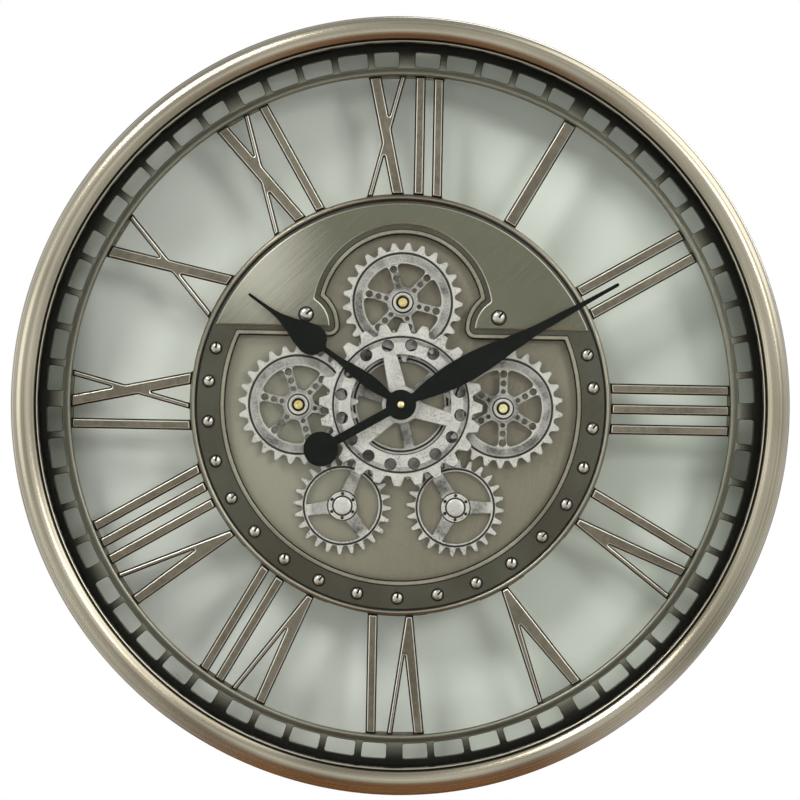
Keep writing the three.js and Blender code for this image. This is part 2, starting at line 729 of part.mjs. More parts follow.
/** Disc rim, rivet band with its border and screws, brushed top plate with its two screws. */
function addCentreDisc() {
  const rimFront = dialBack + DISC_RIM_H;
  const rimRound = DISC_RIM_W / 3;
  const rimProfile = [
    [discInnerR, dialBack],
    [discR, dialBack],
    [discR - rimRound, rimFront],
    [discInnerR, rimFront],
  ];
  add("disc_rim", turned(rimProfile, DISC_SEGMENTS), PEWTER);

  const well = wellOutline(TOP_PLATE_INSET, wellR);
  const border = wellOutline(TOP_PLATE_INSET - BORDER_W, borderOuterR);
  const screwCentres = [-1, 1].map((side) => [side * (tabX + TAB_SCREW_IN), chordY + TAB_SCREW_UP]);
  const screwHoleR = TAB_SCREW_SHANK_R + GAP;
  const screwHoles = screwCentres.map((centre) => circle(screwHoleR, SHAFT_SEGMENTS, centre));
  const band = plate(circle(bandR, DISC_SEGMENTS), bandBack, bandFront, [well, ...screwHoles]);
  const raised = plate(border, bandBack, bandFront + BORDER_PROUD, [well]);
  const heads = bandScrewCentres().map((centre) => {
    return dome(BAND_SCREW_HEAD_R, BAND_SCREW_HEAD_H, bandFront, POST_SEGMENTS, centre);
  });
  add("rivet_band", join(band, raised, ...heads), DARK_PEWTER);

  const edge = wellEdge(0, topPlateR);
  const outline = [...edge, ...closingArc(edge, topPlateR, false)];
  const plateBack = bandFront + GAP;
  const plateFront = plateBack + TOP_PLATE_T;
  add("top_plate", plate(outline, plateBack, plateFront, screwHoles), PEWTER);

  const seat = plateFront + GAP;
  screwCentres.forEach((centre, i) => {
    const head = dome(TAB_SCREW_HEAD_R, TAB_SCREW_HEAD_H, seat + GAP, SHAFT_SEGMENTS, centre);
    const shank = bar(TAB_SCREW_SHANK_R, seat - TAB_SCREW_GRIP, seat + GAP, SHAFT_SEGMENTS, centre);
    add(`top_plate_screw_${i === 0 ? "left" : "right"}`, join(head, shank), AGED_SILVER);
  });
}

// Angles of the satellite gears, seen from the centre of the dial
const SIDE_ANGLES = { top: 90, left: 180 + SIDE_DROOP, right: -SIDE_DROOP };
const BOTTOM_ANGLES = { bottom_left: 270 - BOTTOM_SPREAD, bottom_right: 270 + BOTTOM_SPREAD };

// Angles of the first spoke, and of the first tooth where it is free
const SIDE_SPOKES_AT = { top: -13.5, left: -12, right: 30 };
const SIDE_TEETH_AT = { top: 13.4, left: 4, right: 9 };
const BOTTOM_SPOKES_AT = { bottom_left: 68.5, bottom_right: 1 };
const UPPER_SPOKE_AT = 103.6;
const UPPER_TOOTH_AT = -1.4;
const UPPER_HOLE_AT = 13.6;
const LOWER_SPOKE_AT = -77.6;
const LOWER_TOOTH_AT = 1.6;

/** Recessed plate behind the show gears, with the arbor holes. */
function addGearPlate() {
  const holes = [circle(CENTER_TUBE_R + 2 * GAP, SHAFT_SEGMENTS)];
  for (const angle of Object.values(SIDE_ANGLES)) {
    holes.push(circle(ARBOR_R + 1.5 * GAP, SHAFT_SEGMENTS, polar(sideDistance, angle).toArray()));
  }
  for (const angle of Object.values(BOTTOM_ANGLES)) {
    holes.push(circle(ARBOR_R + 1.5 * GAP, SHAFT_SEGMENTS, polar(bottomDistance, angle).toArray()));
  }
  add("gear_plate", plate(circle(bandR, DISC_SEGMENTS), gearPlateBack, gearPlateFront, holes), PEWTER);
}

/** Both centre gears, the tube that carries them and the drive wheel behind the plate. */
function addCentreGears() {
  const bore = circle(CENTER_TUBE_R + GAP, SHAFT_SEGMENTS);
  const upper = gearOutline(UPPER_TEETH, upperRootR, UPPER_TIP_R, UPPER_TOOTH, UPPER_TOOTH_AT);
  const holeDistance = upperRootR - UPPER_HOLE_INSET;
  const upperHoles = Array.from({ length: UPPER_HOLES }, (_, i) => {
    const centre = polar(holeDistance, UPPER_HOLE_AT + (i * 360) / UPPER_HOLES).toArray();
    return circle(UPPER_HOLE_R, POST_SEGMENTS, centre);
  });
  const upperSpoke = { at: UPPER_SPOKE_AT, rimW: UPPER_SPOKE_RIM_W, hubW: UPPER_SPOKE_HUB_W };
  const upperWindows = spokeWindows(CENTER_SPOKES, upperSpoke, upperRootR - UPPER_RIM_W, CENTER_HUB_R);
  const upperCuts = [bore, ...upperHoles, ...upperWindows];
  add("upper_center_gear", plate(upper, topLayer, topFront, upperCuts), AGED_SILVER);

  const lower = meshOutline(LOWER_TEETH, MESH_MODULE, LOWER_TOOTH_AT);
  const lowerSpoke = { at: LOWER_SPOKE_AT, rimW: LOWER_SPOKE_W, hubW: LOWER_SPOKE_W };
  const lowerRimR = meshRoot(LOWER_TEETH, MESH_MODULE) - LOWER_RIM_W;
  const lowerCuts = [bore, ...spokeWindows(CENTER_SPOKES, lowerSpoke, lowerRimR, CENTER_HUB_R)];
  add("lower_center_gear", plate(lower, lowLayer, lowLayer + LAYER_T, lowerCuts), AGED_SILVER);

  const tubeBore = BUSH_R + GAP;
  const tube = ring(tubeBore, CENTER_TUBE_R, trainPlateFront + GAP, topFront + GAP, SHAFT_SEGMENTS);
  add("center_tube", tube, AGED_SILVER);
  const wheel = meshOutline(DRIVE_WHEEL_TEETH, DRIVE_MODULE, 0);
  add("center_drive_wheel", plate(wheel, driveBack, driveFront, [bore]), WHITE_PLASTIC);
}

/** A six-spoke side gear with its collar, arbor and hidden drive pinion. */
function addSideGear(name, angle) {
  const centre = polar(sideDistance, angle).toArray();
  const bore = circle(ARBOR_R + GAP, SHAFT_SEGMENTS);
  const front = midLayer + LAYER_T;
  const outline = gearOutline(SIDE_TEETH, sideRootR, SIDE_TIP_R, SIDE_TOOTH, SIDE_TEETH_AT[name]);
  const spoke = { at: SIDE_SPOKES_AT[name], rimW: SIDE_SPOKE_W, hubW: SIDE_SPOKE_W };
  const windows = spokeWindows(SIDE_SPOKES, spoke, sideRootR - SIDE_RIM_W, SIDE_HUB_R);
  const wheel = plate(outline, midLayer, front, [bore, ...windows]);
  const collar = ring(COLLAR_INNER_R, COLLAR_OUTER_R, front - GAP, front + COLLAR_H, SHAFT_SEGMENTS);
  add(`${name}_gear`, join(wheel, collar), AGED_SILVER, centre);

  const arborProfile = [
    [ARBOR_R, trainPlateBack + GAP],
    [ARBOR_R, front + GAP],
    [SIDE_ARBOR_HEAD_R, front + GAP],
    [SIDE_ARBOR_HEAD_R, front + SIDE_ARBOR_HEAD_H - GAP],
    [SIDE_ARBOR_HEAD_R - GAP, front + SIDE_ARBOR_HEAD_H],
  ];
  add(`${name}_arbor`, solidTurned(arborProfile, SHAFT_SEGMENTS), BRASS, centre);

  const phase = meshPhase(angle, DRIVE_WHEEL_TEETH, 0, DRIVE_PINION_TEETH);
  const pinion = meshOutline(DRIVE_PINION_TEETH, DRIVE_MODULE, phase);
  add(`${name}_drive_pinion`, plate(pinion, driveBack, driveFront, [bore]), WHITE_PLASTIC, centre);
}

/** A three-spoke bottom gear in mesh with the lower centre gear, with its arbor. */
function addBottomGear(name, angle) {
  const centre = polar(bottomDistance, angle).toArray();
  const bore = circle(ARBOR_R + GAP, SHAFT_SEGMENTS);
  const front = lowLayer + LAYER_T;
  const phase = meshPhase(angle, LOWER_TEETH, LOWER_TOOTH_AT, BOTTOM_TEETH);
  const outline = meshOutline(BOTTOM_TEETH, MESH_MODULE, phase);
  const spoke = { at: BOTTOM_SPOKES_AT[name], rimW: BOTTOM_SPOKE_RIM_W, hubW: BOTTOM_SPOKE_HUB_W };
  const rimR = meshRoot(BOTTOM_TEETH, MESH_MODULE) - BOTTOM_RIM_W;
  const windows = spokeWindows(BOTTOM_SPOKES, spoke, rimR, BOTTOM_HUB_R);
  const wheel = plate(outline, lowLayer, front, [bore, ...windows]);
  const hub = ring(ARBOR_R + GAP, BOTTOM_HUB_R - GAP, front - GAP, front + BOTTOM_HUB_H, SHAFT_SEGMENTS);
  add(`${name}_gear`, join(wheel, hub), AGED_SILVER, centre);

  const headBack = front + BOTTOM_HUB_H + GAP;
  const arborProfile = [
    [ARBOR_COLLAR_R, driveBack],
    [ARBOR_COLLAR_R, gearPlateBack - GAP],
    [ARBOR_R, gearPlateBack - GAP],
    [ARBOR_R, headBack],
    [BOTTOM_ARBOR_HEAD_R, headBack],
    [BOTTOM_ARBOR_HEAD_R, headBack + BOTTOM_ARBOR_HEAD_H / 2],
    [BOTTOM_ARBOR_HEAD_R * BOTTOM_ARBOR_CROWN, headBack + BOTTOM_ARBOR_HEAD_H],
  ];
  add(`${name}_arbor`, solidTurned(arborProfile, SHAFT_SEGMENTS), AGED_SILVER, centre);
}

// Places of the posts that space the train plate from the gear plate, and of the motor
const postDistance = coverR - COVER_WALL - POST_R - POST_MARGIN;
const POST_ANGLES = [POST_TOP_ANGLE, 180 - POST_TOP_ANGLE, POST_BOTTOM_ANGLE, 180 - POST_BOTTOM_ANGLE];
const POST_CENTRES = POST_ANGLES.map((angle) => polar(postDistance, angle).toArray());
const motorCentre = polar(motorDistance, MOTOR_ANGLE).toArray();

/** Train plate with its posts, gear motor and motor pinion. */
function addTrain() {
  const motorHole = circle(MOTOR_SHAFT_R + 1.5 * GAP, SHAFT_SEGMENTS, motorCentre);
  const holes = [circle(BUSH_R + GAP, SHAFT_SEGMENTS), motorHole];
  for (const angle of Object.values(SIDE_ANGLES)) {
    holes.push(circle(ARBOR_R + 1.5 * GAP, SHAFT_SEGMENTS, polar(sideDistance, angle).toArray()));
  }
  const sheetR = coverR - COVER_WALL - GAP;
  const sheet = plate(circle(sheetR, DISC_SEGMENTS), trainPlateBack, trainPlateFront, holes);
  const posts = POST_CENTRES.map((centre) => {
    return bar(POST_R, trainPlateBack, gearPlateBack - GAP, POST_SEGMENTS, centre);
  });
  const bores = POST_CENTRES.map((centre) => {
    return bar(COVER_SCREW_R + 2 * GAP, trainPlateBack - GAP, gearPlateBack, POST_SEGMENTS, centre);
  });
  add("train_plate", cut(join(sheet, ...posts), ...bores), GREY_PLASTIC);

  const can = bar(MOTOR_R, movementBack, movementFront, 2 * SHAFT_SEGMENTS);
  const shaftEnd = (movementBack + movementFront) / 2;
  const canBore = bar(MOTOR_SHAFT_R + 1.5 * GAP, shaftEnd - GAP, movementFront + GAP, SHAFT_SEGMENTS);
  add("gear_motor", cut(can, canBore), AGED_SILVER, motorCentre);

  const phase = meshPhase(MOTOR_ANGLE, DRIVE_WHEEL_TEETH, 0, MOTOR_TEETH);
  const pinion = plate(meshOutline(MOTOR_TEETH, DRIVE_MODULE, phase), driveBack, driveFront);
  const shaft = bar(MOTOR_SHAFT_R, shaftEnd, driveFront, SHAFT_SEGMENTS);
  add("motor_pinion", join(pinion, shaft), WHITE_PLASTIC, motorCentre);
}

/** A round cell lying across the clock, open to the back of its trough. */
function addCell(name, y) {
  const level = movementBack + CELL_R + GAP;
  const cell = new THREE.CylinderGeometry(CELL_R, CELL_R, CELL_LENGTH, SHAFT_SEGMENTS);
  add(name, cell.rotateZ(Math.PI / 2).translate(0, y, level), CELL_GREEN);
}

/** The trough that takes a cell, cut from the back. */
function cellTrough(y) {
  const halfLength = CELL_LENGTH / 2 + GAP;
  const halfWidth = CELL_R + GAP;
  const depth = movementBack + 2 * CELL_R + 2 * GAP;
  return block([-halfLength, y - halfWidth, -GAP], [halfLength, y + halfWidth, depth]);
}

const trayRight = CELL_LENGTH / 2 + GAP + TRAY_WALL + SWITCH_ROOM;
const switchLeft = trayRight - SWITCH_ROOM + TRAY_WALL;

/** The slot that the gear switch slides in. */
function switchSlot(back, front) {
  const right = switchLeft + SWITCH_W + SWITCH_TRAVEL + GAP;
  const half = SWITCH_H / 2 + GAP;
  return block([switchLeft - GAP, trayY - half, back], [right, trayY + half, front]);
}

/** Quartz movement with its hand bush and nut, setting knob and cell. */
function addMovement() {
  const half = MOVEMENT_SIZE / 2;
  const box = block([-half, -half, movementBack], [half, half, movementFront]);
  const bush = bar(BUSH_R, movementFront - GAP, bushFront, SHAFT_SEGMENTS);
  const boreEnd = movementBack + MOVEMENT_DEPTH / 2;
  const bore = bar(BUSH_R - BUSH_WALL, boreEnd, bushFront + GAP, SHAFT_SEGMENTS);
  const knobTop = BACK_CLEARANCE + KNOB_H;
  const knobAt = [0, knobY];
  const stemEnd = knobTop + KNOB_STEM_L;
  const recess = bar(KNOB_R + 4 * GAP, movementBack - GAP, knobTop + GAP, 2 * SHAFT_SEGMENTS, knobAt);
  const stemHole = bar(KNOB_STEM_R + GAP, knobTop, stemEnd + GAP, SHAFT_SEGMENTS, knobAt);
  add("quartz_movement", cut(join(box, bush), bore, recess, stemHole, cellTrough(cellY)), GREY_PLASTIC);
  addCell("movement_cell", cellY);

  const nutHole = circle(BUSH_R + GAP, SHAFT_SEGMENTS);
  add("bush_nut", plate(circle(BUSH_NUT_R, NUT_SIDES), nutBack, bushFront - GAP, [nutHole]), BRASS);

  const knobProfile = [
    [KNOB_R, BACK_CLEARANCE],
    [KNOB_R, knobTop],
    [KNOB_STEM_R, knobTop],
    [KNOB_STEM_R, stemEnd],
  ];
  add("time_set_knob", solidTurned(knobProfile, 2 * SHAFT_SEGMENTS), GREY_PLASTIC, knobAt);
}

/** Battery tray of the gear motor, with its cell and switch. */
function addBatteryTray() {
  const left = -CELL_LENGTH / 2 - GAP - TRAY_WALL;
  const low = [left, trayY - trayHalf, movementBack];
  const high = [trayRight, trayY + trayHalf, movementFront];
  const slot = switchSlot(movementBack - GAP, BACK_CLEARANCE + SWITCH_L + GAP);
  add("battery_tray", cut(block(low, high), cellTrough(trayY), slot), GREY_PLASTIC);
  addCell("motor_cell", trayY);
  const half = SWITCH_H / 2;
  const front = BACK_CLEARANCE + SWITCH_L;
  const slider = block(
    [switchLeft, trayY - half, BACK_CLEARANCE],
    [switchLeft + SWITCH_W, trayY + half, front],
  );
  add("gear_switch", slider, AGED_SILVER);
}

/** Rear cover: a shallow pan over the works, with its four sunk screws. */
function addRearCover() {
  const inside = coverR - COVER_WALL;
  const wallFront = gearPlateBack - GAP;
  const panProfile = [
    [coverR, 0],
    [coverR, wallFront],
    [inside, wallFront],
    [inside, COVER_T],
  ];
  const pan = solidTurned(panProfile, DISC_SEGMENTS);
  const sunk = COVER_SCREW_SUNK + COVER_SCREW_HEAD_H + GAP;
  const counterbores = POST_CENTRES.map((centre) => {
    return bar(COVER_SCREW_HEAD_R + 3 * GAP, -GAP, sunk, POST_SEGMENTS, centre);
  });
  const bores = POST_CENTRES.map((centre) => {
    return bar(COVER_SCREW_R + 2 * GAP, 0, COVER_T + GAP, POST_SEGMENTS, centre);
  });
  const knobHole = bar(KNOB_R + 4 * GAP, -GAP, COVER_T + GAP, 2 * SHAFT_SEGMENTS, [0, knobY]);
  const cellHoles = [cellY, trayY].map((y) => {
    const halfLength = CELL_LENGTH / 2 + GAP;
    const halfWidth = CELL_R + GAP;
    return block([-halfLength, y - halfWidth, -GAP], [halfLength, y + halfWidth, COVER_T + GAP]);
  });
  const slot = switchSlot(-GAP, COVER_T + GAP);
  const cuts = [...counterbores, ...bores, knobHole, ...cellHoles, slot];
  add("rear_cover", cut(pan, ...cuts), GREY_PLASTIC);

  const screwProfile = [
    [COVER_SCREW_HEAD_R, COVER_SCREW_SUNK],
    [COVER_SCREW_HEAD_R, COVER_SCREW_SUNK + COVER_SCREW_HEAD_H],
    [COVER_SCREW_R, COVER_SCREW_SUNK + COVER_SCREW_HEAD_H],
    [COVER_SCREW_R, gearPlateBack - 2 * GAP],
  ];
  POST_CENTRES.forEach((centre, i) => {
    add(`cover_screw_${i + 1}`, solidTurned(screwProfile, SHAFT_SEGMENTS), AGED_SILVER, centre);
  });
}

/** Both sides of a hand drawn along +x, from [distance, width] pairs towards the point. */
function handOutline(stations) {
  const upper = stations.map(([along, width]) => new THREE.Vector2(along, width / 2));
  const lower = stations.map(([along, width]) => new THREE.Vector2(along, -width / 2)).reverse();
  return [...lower, ...upper];
}

/** Hour hand: a spade on a leaf-shaped neck, on its tube. */
function addHourHand() {
  const spadeBack = HOUR_SPADE_AT - HOUR_SPADE_W * 0.42;
  const spadeFlank = HOUR_SPADE_AT + HOUR_SPADE_W * 0.55;
  const spadeTaper = HOUR_SPADE_AT + HOUR_SPADE_W * 1.35;
  const outline = handOutline([
    [0, HOUR_NECK_W],
    [HOUR_BOSS_R, HOUR_NECK_W],
    [HOUR_SPADE_AT * 0.33, HOUR_BELLY_W],
    [HOUR_SPADE_AT * 0.54, HOUR_BELLY_W * 0.78],
    [HOUR_SPADE_AT * 0.78, HOUR_NECK_W * 0.72],
    [spadeBack - 1, HOUR_NECK_W * 0.74],
    [spadeBack + 1.5, HOUR_SPADE_W * 0.72],
    [HOUR_SPADE_AT - 2, HOUR_SPADE_W * 0.96],
    [HOUR_SPADE_AT + 1.5, HOUR_SPADE_W],
    [spadeFlank, HOUR_SPADE_W * 0.68],
    [spadeTaper, HOUR_SPADE_W * 0.2],
    [HOUR_LENGTH - POINT_W, POINT_W],
    [HOUR_LENGTH, POINT_W / 3],
  ]);
  const blade = plate(outline, hourBack, hourFront).rotateZ(radians(HOUR_ANGLE));
  const tubeR = BUSH_R - BUSH_WALL - GAP;
  const tubeEnd = movementFront - 2 * HAND_TUBE_WALL;
  const boss = bar(HOUR_BOSS_R, hourBack, hourFront, 2 * SHAFT_SEGMENTS);
  const tube = bar(tubeR, tubeEnd, hourFront, SHAFT_SEGMENTS);
  const bore = bar(tubeR - HAND_TUBE_WALL, tubeEnd - GAP, hourFront + GAP, SHAFT_SEGMENTS);
  add("hour_hand", cut(join(blade, boss, tube), bore), BLACK);
}

/** Minute hand: a long leaf with a disc on its tail, on its arbor, and the brass cap. */
function addMinuteHand() {
  const outline = handOutline([
    [-TAIL_LENGTH, TAIL_W],
    [MINUTE_BOSS_R, TAIL_W],
    [MINUTE_BELLY_AT * 0.36, MINUTE_NECK_W + 3],
    [MINUTE_BELLY_AT * 0.6, MINUTE_BELLY_W * 0.85],
    [MINUTE_BELLY_AT * 0.85, MINUTE_BELLY_W * 0.98],
    [MINUTE_BELLY_AT * 1.1, MINUTE_BELLY_W * 0.99],
    [MINUTE_BELLY_AT * 1.35, MINUTE_BELLY_W * 0.89],
    [MINUTE_BELLY_AT * 1.65, MINUTE_BELLY_W * 0.64],
    [MINUTE_BELLY_AT * 1.98, MINUTE_BELLY_W * 0.4],
    [MINUTE_BELLY_AT * 2.4, MINUTE_NECK_W * 0.8],
    [MINUTE_LENGTH - 6 * POINT_W, POINT_W],
    [MINUTE_LENGTH, POINT_W / 2],
  ]);
  const blade = plate(outline, minuteBack, minuteFront);
  const tail = bar(TAIL_DISC_R, minuteBack, minuteFront, 2 * SHAFT_SEGMENTS, [-TAIL_LENGTH, 0]);
  const boss = bar(MINUTE_BOSS_R, minuteBack, minuteFront, 2 * SHAFT_SEGMENTS);
  const arborR = BUSH_R - BUSH_WALL - 2 * GAP - HAND_TUBE_WALL;
  const arborEnd = movementFront - 4 * HAND_TUBE_WALL;
  const arbor = bar(arborR, arborEnd, minuteFront, SHAFT_SEGMENTS);
  add("minute_hand", join(blade, tail, boss, arbor).rotateZ(radians(MINUTE_ANGLE)), BLACK);
  add("hand_cap", dome(CAP_R, CAP_H, minuteFront + 2 * GAP, SHAFT_SEGMENTS), BRASS);
}

/** Hanger plate with its keyhole, on the inside of the rear flange. */
function addHanger() {
  const half = HANGER_W / 2;
  const inside = (CASE_R - CASE_WALL) * Math.cos(Math.PI / CASE_SEGMENTS) - GAP;
  const top = Math.sqrt(inside ** 2 - half ** 2);
  const keyY = top - HANGER_H + KEYHOLE_R + KEYHOLE_SLOT_R / 2;
  const slotTop = keyY + KEYHOLE_RISE;
  const slotFoot = degrees(Math.asin(KEYHOLE_SLOT_R / KEYHOLE_R));
  const keyhole = [
    ...arc(KEYHOLE_R, 90 + slotFoot, 450 - slotFoot, KEYHOLE_FACETS.round, [0, keyY]),
    ...arc(KEYHOLE_SLOT_R, 0, 180, KEYHOLE_FACETS.slot, [0, slotTop]),
  ];
  const back = CASE_WALL + GAP;
  const outline = rectangle(-half, half, top - HANGER_H, top);
  add("hanger_plate", plate(outline, back, back + HANGER_T, [keyhole]), AGED_SILVER);
}

addCaseBand();
addBezelRing();
addGlazing();
addChapterRing();
addNumerals();
addCentreDisc();
addGearPlate();
addCentreGears();
for (const [name, angle] of Object.entries(SIDE_ANGLES)) {
  addSideGear(name, angle);
}
for (const [name, angle] of Object.entries(BOTTOM_ANGLES)) {
  addBottomGear(name, angle);
}
addTrain();
addMovement();
addBatteryTray();
addRearCover();
addHourHand();
addMinuteHand();
addHanger();

export default clock;
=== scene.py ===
"""Looks of the gear wall clock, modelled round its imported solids.

Sizes are in millimetres and are drawn looking at the dial: x to the right, y up, and a level
that counts from the wall towards the room. The bench turns them into the frame's metres.
"""

import logging
import math
from dataclasses import dataclass, replace
from enum import Enum
from typing import Callable, ClassVar, Iterable, NamedTuple, Optional, Sequence, Union

import bpy
from mathutils import Matrix, Vector


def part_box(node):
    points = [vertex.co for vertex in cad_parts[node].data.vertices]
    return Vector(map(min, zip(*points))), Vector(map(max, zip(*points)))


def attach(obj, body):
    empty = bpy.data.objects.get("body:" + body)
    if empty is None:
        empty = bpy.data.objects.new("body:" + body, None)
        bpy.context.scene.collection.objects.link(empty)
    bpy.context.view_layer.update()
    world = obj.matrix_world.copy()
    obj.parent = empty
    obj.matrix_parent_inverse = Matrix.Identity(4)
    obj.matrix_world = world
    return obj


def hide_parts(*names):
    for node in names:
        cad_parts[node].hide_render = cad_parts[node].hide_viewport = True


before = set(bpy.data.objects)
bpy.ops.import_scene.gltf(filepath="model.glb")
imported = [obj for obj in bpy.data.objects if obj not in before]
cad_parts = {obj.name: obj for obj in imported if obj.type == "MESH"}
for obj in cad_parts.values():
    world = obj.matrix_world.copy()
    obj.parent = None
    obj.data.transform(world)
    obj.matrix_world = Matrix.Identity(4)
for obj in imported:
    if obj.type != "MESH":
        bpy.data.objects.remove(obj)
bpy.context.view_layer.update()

MM = 0.001
LOG = logging.getLogger("gear_wall_clock")

Piece = bpy.types.Object
Socket = bpy.types.NodeSocket
Material = bpy.types.Material
Point = tuple[float, float]
Trio = tuple[float, float, float]
Outline = list[Point]
Colour = Trio


class Body(Enum):
    """The bodies of the clock that pieces ride on."""

    CASE = "case"
    CENTER = "center_train"
    TOP = "top_train"
    LEFT = "left_train"
    RIGHT = "right_train"
    BOTTOM_LEFT = "bottom_left_train"
    BOTTOM_RIGHT = "bottom_right_train"
    MINUTE = "minute"
    HOUR = "hour"
    KNOB = "set_knob"
    SWITCH = "switch"


class Slot(Enum):
    """The finishes that the clock's record names."""

    CASE_METAL = "case_metal"
    DIAL_METAL = "dial_metal"
    BAND_PAINT = "band_paint"
    GEAR_SILVER = "gear_silver"
    ARBOR_BRASS = "arbor_brass"
    STEEL = "steel"
    HAND_BLACK = "hand_black"
    BLACK_PLASTIC = "black_plastic"
    WORKS_GREY = "works_grey"
    CELL_WRAP = "cell_wrap"


class Run(Enum):
    """Whether a turned profile closes on itself or ends on its axis."""

    RING = "ring"
    SOLID = "solid"


class Cap(Enum):
    """How a plate's outline is closed: filled round its holes, or by one face."""

    FILL = "fill"
    FACE = "face"


class Axis(Enum):
    """The line that a profile is turned about: square to the dial or across it."""

    DIAL = (0.0, 1.0, 0.0)
    ACROSS = (1.0, 0.0, 0.0)


def dial(x: float, y: float, level: float) -> Vector:
    """A place in the frame, from millimetres on the dial and a level."""
    return Vector((x, -level, y)) * MM


def levels(node: str) -> Point:
    """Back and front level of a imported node, in millimetres."""
    low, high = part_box(node)
    return -high.y / MM, -low.y / MM


def linear(value: int) -> float:
    """One channel of a screen colour, from 0..255 to linear light."""
    share = value / 255
    return share / 12.92 if share <= 0.04045 else ((share + 0.055) / 1.055) ** 2.4


def tone(red: int, green: int, blue: int) -> Colour:
    """A linear colour from the three values of a screen colour."""
    return linear(red), linear(green), linear(blue)


def polar(radius: float, angle: float, centre: Point = (0.0, 0.0)) -> Point:
    """A point at a radius and an angle in degrees, round a centre."""
    turn = math.radians(angle)
    return centre[0] + radius * math.cos(turn), centre[1] + radius * math.sin(turn)


def arc(radius: float, start: float, end: float, steps: int, centre: Point = (0.0, 0.0)) -> Outline:
    """Points along an arc, both ends included."""
    return [polar(radius, start + (end - start) * i / steps, centre) for i in range(steps + 1)]


def circle(radius: float, steps: int, centre: Point = (0.0, 0.0), phase: float = 0.0) -> Outline:
    """Points of a full circle."""
    return arc(radius, phase, phase + 360, steps, centre)[:-1]


def dome(radius: float, base: float, rise: float, step: int = 10) -> Outline:
    """A dome's profile, from its foot to just short of its crown, in steps of some degrees."""
    angles = [math.radians(angle) for angle in range(0, 90, step)]
    return [(radius * math.cos(angle), base + rise * math.sin(angle)) for angle in angles]


def turned(points: Iterable[Point], angle: float, centre: Point = (0.0, 0.0)) -> Outline:
    """An outline turned about the dial's centre by an angle in degrees, then moved to a centre."""
    cos, sin = math.cos(math.radians(angle)), math.sin(math.radians(angle))
    return [(centre[0] + x * cos - y * sin, centre[1] + x * sin + y * cos) for x, y in points]


def crossing(a: Point, b: Point, c: Point, d: Point) -> Point:
    """Where two lines meet.

    Args:
        a: A point of the first line.
        b: Another point of it.
        c: A point of the second line.
        d: Another point of it.

    Returns:
        The point that both lines share.
    """
    run, rise = (b[0] - a[0], b[1] - a[1]), (d[0] - c[0], d[1] - c[1])
    cross = run[0] * rise[1] - run[1] * rise[0]
    share = ((c[0] - a[0]) * rise[1] - (c[1] - a[1]) * rise[0]) / cross
    return a[0] + run[0] * share, a[1] + run[1] * share


class Corners:
    """Rounds the corners of a closed outline, walking along its sides."""

    BEND = math.radians(24)
    STEPS = 5
    SIDE_SHARE = 0.45
    SLACK = 1e-9

    def __init__(self, points: Outline) -> None:
        """Measures the outline.

        Args:
            points: A closed outline, drawn counter-clockwise.
        """
        bends = [self._bend(points, i) for i in range(len(points))]
        first = next((i for i, bend in enumerate(bends) if abs(bend) > self.BEND), 0)
        self.points = points[first:] + points[:first]
        self.bends = bends[first:] + bends[:first]
        self.at = [0.0]
        for i in range(len(points)):
            self.at.append(self.at[-1] + math.dist(self.points[i], self.points[(i + 1) % len(points)]))

    @staticmethod
    def _bend(points: Outline, i: int) -> float:
        """How far the outline turns at a point.

        Args:
            points: The outline.
            i: Which point.

        Returns:
            The angle in radians, positive to the left.
        """
        before, here, after = points[i - 1], points[i], points[(i + 1) % len(points)]
        come = math.atan2(here[1] - before[1], here[0] - before[0])
        leave = math.atan2(after[1] - here[1], after[0] - here[0])
        return (leave - come + math.pi) % (2 * math.pi) - math.pi

    def _along(self, distance: float) -> Point:
        """Walks along the outline.

        Args:
            distance: How far from its first point.

        Returns:
            The point there.
        """
        distance %= self.at[-1]
        i = max(k for k in range(len(self.points)) if self.at[k] <= distance + self.SLACK)
        share = (distance - self.at[i]) / (self.at[i + 1] - self.at[i])
        a, b = self.points[i], self.points[(i + 1) % len(self.points)]
        return a[0] + (b[0] - a[0]) * share, a[1] + (b[1] - a[1]) * share

    def rounded(self, outer: float, inner: float) -> Outline:
        """Rounds every corner.

        Args:
            outer: Reach of the rounding to each side of a corner that points out.
            inner: The same for a corner that points in.

        Returns:
            The outline with its corners rounded.
        """
        corners = [i for i, bend in enumerate(self.bends) if abs(bend) > self.BEND]
        if not corners:
            return self.points
        spans = [
            (self.at[corners[(k + 1) % len(corners)]] - self.at[i]) % self.at[-1] or self.at[-1]
            for k, i in enumerate(corners)
        ]
        reach = [
            min(outer if self.bends[i] > 0 else inner, self.SIDE_SHARE * spans[k], self.SIDE_SHARE * spans[k - 1])
            for k, i in enumerate(corners)
        ]
        made: Outline = []
        for k, i in enumerate(corners):
            corner = self.points[i]
            start, end = self._along(self.at[i] - reach[k]), self._along(self.at[i] + reach[k])
            if not reach[k]:
                made.append(corner)
            for step in range(self.STEPS + 1 if reach[k] else 0):
                t = step / self.STEPS
                a, b, c = (1 - t) ** 2, 2 * t * (1 - t), t * t
                x = a * start[0] + b * corner[0] + c * end[0]
                y = a * start[1] + b * corner[1] + c * end[1]
                made.append((x, y))
            last = self.at[i] + spans[k] - reach[(k + 1) % len(corners)]
            for step in range(1, len(self.points)):
                j = (i + step) % len(self.points)
                distance = self.at[i] + (self.at[j] - self.at[i]) % self.at[-1]
                if j == corners[(k + 1) % len(corners)]:
                    break
                if self.at[i] + reach[k] < distance < last:
                    made.append(self.points[j])
        return made


def eased(points: Outline, outer: float, inner: Optional[float] = None) -> Outline:
    """An outline with its corners rounded, its inward ones by a reach of their own."""
    return Corners(points).rounded(outer, outer if inner is None else inner)


